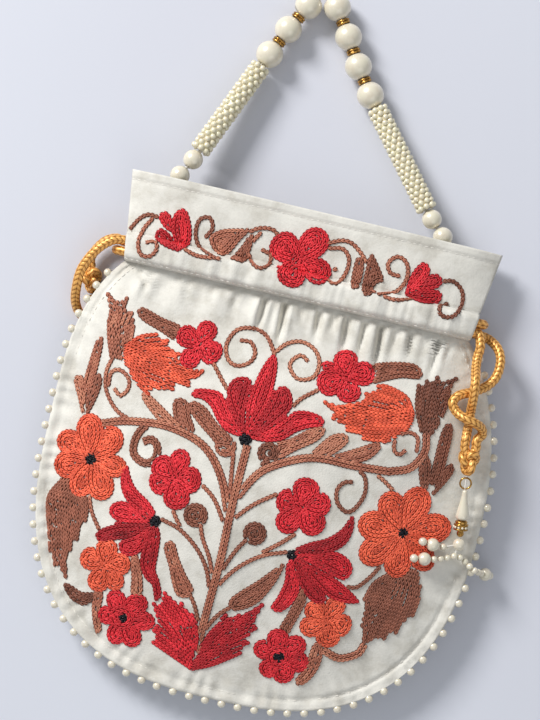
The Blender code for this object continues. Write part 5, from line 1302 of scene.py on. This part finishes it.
def tassel(side):
    """A link, a drop, a gold rondelle with its stones, a pearl and strands of small beads."""
    link, drop, gold, pearl = (middle(f"{n}_{side}") for n in ("tassel_link", "drop_pearl", "rondelle", "tassel_pearl"))
    up = (link - pearl).normalized()
    flat = up.cross(Vector((0, 0, 1))).cross(up).normalized()
    spots = [2 * math.pi * i / STONES for i in range(STONES)]
    stones = [aimed(gold, up) @ Matrix.Rotation(a, 4, "Z") @ Matrix.Translation((0.0033, 0, 0.00085)) for a in spots]
    made = [
        finished(repeated(shape, places), f"{name}_{side}", colour_name, *[f"{node}_{side}" for node in replaced])
        for name, colour_name, shape, places, *replaced in (
            ("gold_link", "gold", ring_shape(0.0027, 0.0009), [aimed(link, flat)], "tassel_link"),
            ("smooth_drop", "pearl", turned_shape(DROP), [aimed(drop, up)], "drop_pearl"),
            ("gold_rondelle", "gold", turned_shape(RONDELLE), [aimed(gold, up)], "rondelle"),
            ("rondelle_stones", "pearl", pearl_shape(0.0013, 0.0, 8), stones),
            ("round_tassel_pearl", "pearl", pearl_shape(TASSEL_PEARL, 0.0006), [aimed(pearl, up)], "tassel_pearl"),
        )
    ]
    for kind, line, both_ends in STRANDS[side]:
        stops = [Vector(p) * MM for p in line]
        places = bead_places(smooth_route(stops, 0.0005), both_ends)
        bm = bmesh.new()
        for (where, along), size in places:
            bm.from_mesh(template(repeated(pearl_shape(size, 0.0004, 16), [aimed(where, along)])))
        bm.from_mesh(template(swept(smooth_route(stops, 0.003), 6, lambda angle, distance: 0.0003)))
        made.append(finished(bm, f"bead_strand_{kind}_{side}", "pearl", f"strand_{kind}_{side}"))
        held_at = min((where for (where, _), _ in places), key=lambda where: (where - pearl).length)
        made.append(tassel_thread([pearl, held_at], f"strand_thread_{kind}_{side}"))
    made.append(tassel_thread([middle(f"knot_{side}"), link, drop, gold, pearl], f"tassel_thread_{side}"))
    return made


def tassel_thread(stops, name):
    """The thread that holds a tassel's pieces together."""
    return finished(swept(smooth_route(stops, 0.002), 8, lambda angle, distance: TASSEL_THREAD / 2), name, "satin")


def bead_places(line, both_ends):
    """Sizes and places of a strand's beads: a tip and a pearl at its free ends, and small beads between."""
    long = lengths_along(line)[-1]
    beads = [(STRAND_TIP / 2, STRAND_TIP), (STRAND_TIP + STRAND_PEARL / 2, STRAND_PEARL)]
    low, high = STRAND_TIP + STRAND_PEARL, long
    if both_ends:
        beads += [(long - at, size) for at, size in beads]
        high = long - low
    count = int((high - low) / STRAND_BEAD)
    beads += [(low + (high - low) * (i + 0.5) / count, STRAND_BEAD) for i in range(count)]
    stops = spaced(line, 400)
    return [(stops[min(400, round(400 * at / long))], size) for at, size in beads]


STRANDS = {
    "right": (
        ("long", ((77.6, -24.4, 27.3), (84, -23.6, 25.4), (90, -22.6, 23.6), (96, -20.6, 21.8), (100.6, -18.9, 20.5),
                  (105.6, -21, 18.5), (110.6, -24, 19.2), (121, -26, 3.1)), True),
        ("short", ((80, -15.2, 26.6), (87.5, -15.9, 24.5), (94.8, -15.9, 22.3)), False),
    ),
    "left": (
        ("long", ((-97, 15, 3.6), (-92, 25, 3.6), (-88.6, 33.2, 3.6), (-84.5, 25, 3.6), (-86, 10, 3.6)), True),
        ("short", ((-103.7, 25.6, 3.6), (-97.7, 29.5, 3.6), (-91.3, 34, 3.6)), False),
    ),
}


def drawstring(side, lane, way):
    """One drawstring: its hidden run, its two free ends, their knot and the tassel below it."""
    diameter = bpy.context.scene.bag_sizes.cord_diameter
    channel(side, lane, way)
    knotted = [knot(side), *tassel(side)]
    for face in ("front", "back"):
        bm, path = braided([Vector(p) * MM for p in LEGS[face, side]], diameter)
        node = f"drawstring_{face}_leg_{side}"
        piece = finished(bm, f"braided_{face}_leg_{side}", "cord", node)


# Operators: one for each piece or group of like pieces


class VelvetBag(bpy.types.Operator):
    """Adds the velvet panels and bands with their gathers, creases, casing and hem"""

    bl_idname = "bag.velvet"
    bl_label = "Velvet"

    def execute(self, context):
        velvet_panel("front_panel", front_cloth)
        velvet_panel("back_panel", back_cloth)
        velvet_band("front_band", front_band_cloth)
        velvet_band("back_band", back_band_cloth)
        return {"FINISHED"}


class SatinLining(bpy.types.Operator):
    """Adds the lining inside the velvet, open at the mouth"""

    bl_idname = "bag.lining"
    bl_label = "Lining"

    def execute(self, context):
        lining_pouch()
        return {"FINISHED"}


class Embroidery(bpy.types.Operator):
    """Sews the flowers, leaves and vines in rows of chain stitch, and the plain rows of stitching round them"""

    bl_idname = "bag.embroidery"
    bl_label = "Embroidery"

    def execute(self, context):
        on_body = sew(EMBROIDERY, front_cloth)
        on_band = sew(BAND_EMBROIDERY, front_band_cloth)
        topstitching({front_cloth: on_body, front_band_cloth: on_band})
        return {"FINISHED"}


class EdgePearls(bpy.types.Operator):
    """Adds the pearls sewn round the body's seam"""

    bl_idname = "bag.edge_pearls"
    bl_label = "Edge pearls"

    def execute(self, context):
        edge_pearls()
        return {"FINISHED"}


class BeadedHandle(bpy.types.Operator):
    """Adds the handle's pearls, gold rings and beaded sleeves"""

    bl_idname = "bag.handle"
    bl_label = "Handle"

    def execute(self, context):
        handle_pearls()
        spacer_rings()
        sleeve("left", LARGE_PEARLS[0])
        sleeve("right", LARGE_PEARLS[-1])
        for node in ("handle_string", "handle_anchor_left", "handle_anchor_right"):
            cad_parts[node].data.materials.clear()
            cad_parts[node].data.materials.append(material("satin"))
        return {"FINISHED"}


class Drawstrings(bpy.types.Operator):
    """Adds both braided drawstrings with their knots and beaded tassels"""

    bl_idname = "bag.drawstrings"
    bl_label = "Drawstrings"

    def execute(self, context):
        drawstring("right", -0.0026, 1)
        drawstring("left", 0.0026, -1)
        return {"FINISHED"}


class Stage(bpy.types.Operator):
    """Adds the table, the soft light and the camera that looks straight down"""

    bl_idname = "bag.stage"
    bl_label = "Stage"

    def execute(self, context):
        bm = flat_grid(2, 2, TABLE_HALF_WIDTH)
        added(bm, "table_top", "table")
        light_scene(context.scene)
        add_camera(context.scene)
        return {"FINISHED"}


def light_scene(scene):
    world = bpy.data.worlds.new("studio")
    world.use_nodes = True
    world.node_tree.nodes["Background"].inputs["Color"].default_value = (0.90, 0.94, 1.0, 1.0)
    world.node_tree.nodes["Background"].inputs["Strength"].default_value = 0.42
    scene.world = world
    for name, where, size, power in (
        ("window", (-1.50, 1.24, 1.24), 0.7, 54.0),
        ("fill", (1.0, -1.2, 1.8), 1.8, 8.0),
    ):
        lamp = bpy.data.lights.new(name, "AREA")
        lamp.shape = "SQUARE"
        lamp.size = size
        lamp.energy = power
        holder = bpy.data.objects.new(name, lamp)
        holder.location = where
        holder.rotation_euler = (-Vector(where)).to_track_quat("-Z", "Y").to_euler()
        scene.collection.objects.link(holder)


TABLE_HALF_WIDTH = 1.5
CAMERA_TURN = math.radians(13.2)
VIEW_CENTRE = Vector((-0.01025, 0.0534, 0.020))
VIEW_HEIGHT = 0.3512
LENS = 100.0


def add_camera(scene):
    data = bpy.data.cameras.new("overhead")
    data.lens = LENS
    camera = bpy.data.objects.new("overhead", data)
    camera.location = VIEW_CENTRE + Vector((0, 0, VIEW_HEIGHT * LENS / data.sensor_width))
    camera.rotation_euler = (0, 0, CAMERA_TURN)
    scene.collection.objects.link(camera)
    scene.camera = camera
    scene.view_settings.view_transform = "Standard"


OPERATORS = (Stage, VelvetBag, SatinLining, Drawstrings, BeadedHandle, EdgePearls, Embroidery)


class BagPanel(bpy.types.Panel):
    """Lists the steps that dress the bag"""

    bl_idname = "BAG_PT_steps"
    bl_label = "Drawstring bag"
    bl_space_type = "VIEW_3D"
    bl_region_type = "UI"
    bl_category = "Drawstring bag"

    def draw(self, context):
        for group in (context.scene.bag_sizes, context.scene.bag_colours):
            for key in group.__annotations__:
                self.layout.prop(group, key)
        for operator in OPERATORS:
            self.layout.operator(operator.bl_idname)


CLASSES = (BagSizes, BagColours, *OPERATORS, BagPanel)


def register():
    for each in CLASSES:
        bpy.utils.register_class(each)
    bpy.types.Scene.bag_sizes = bpy.props.PointerProperty(type=BagSizes)
    bpy.types.Scene.bag_colours = bpy.props.PointerProperty(type=BagColours)


def unregister():
    del bpy.types.Scene.bag_colours
    del bpy.types.Scene.bag_sizes
    for each in reversed(CLASSES):
        bpy.utils.unregister_class(each)


def main():
    register()
    bpy.ops.bag.stage()
    bpy.ops.bag.velvet()
    bpy.ops.bag.lining()
    bpy.ops.bag.drawstrings()
    bpy.ops.bag.handle()
    bpy.ops.bag.edge_pearls()
    bpy.ops.bag.embroidery()


if __name__ == "__main__":
    main()
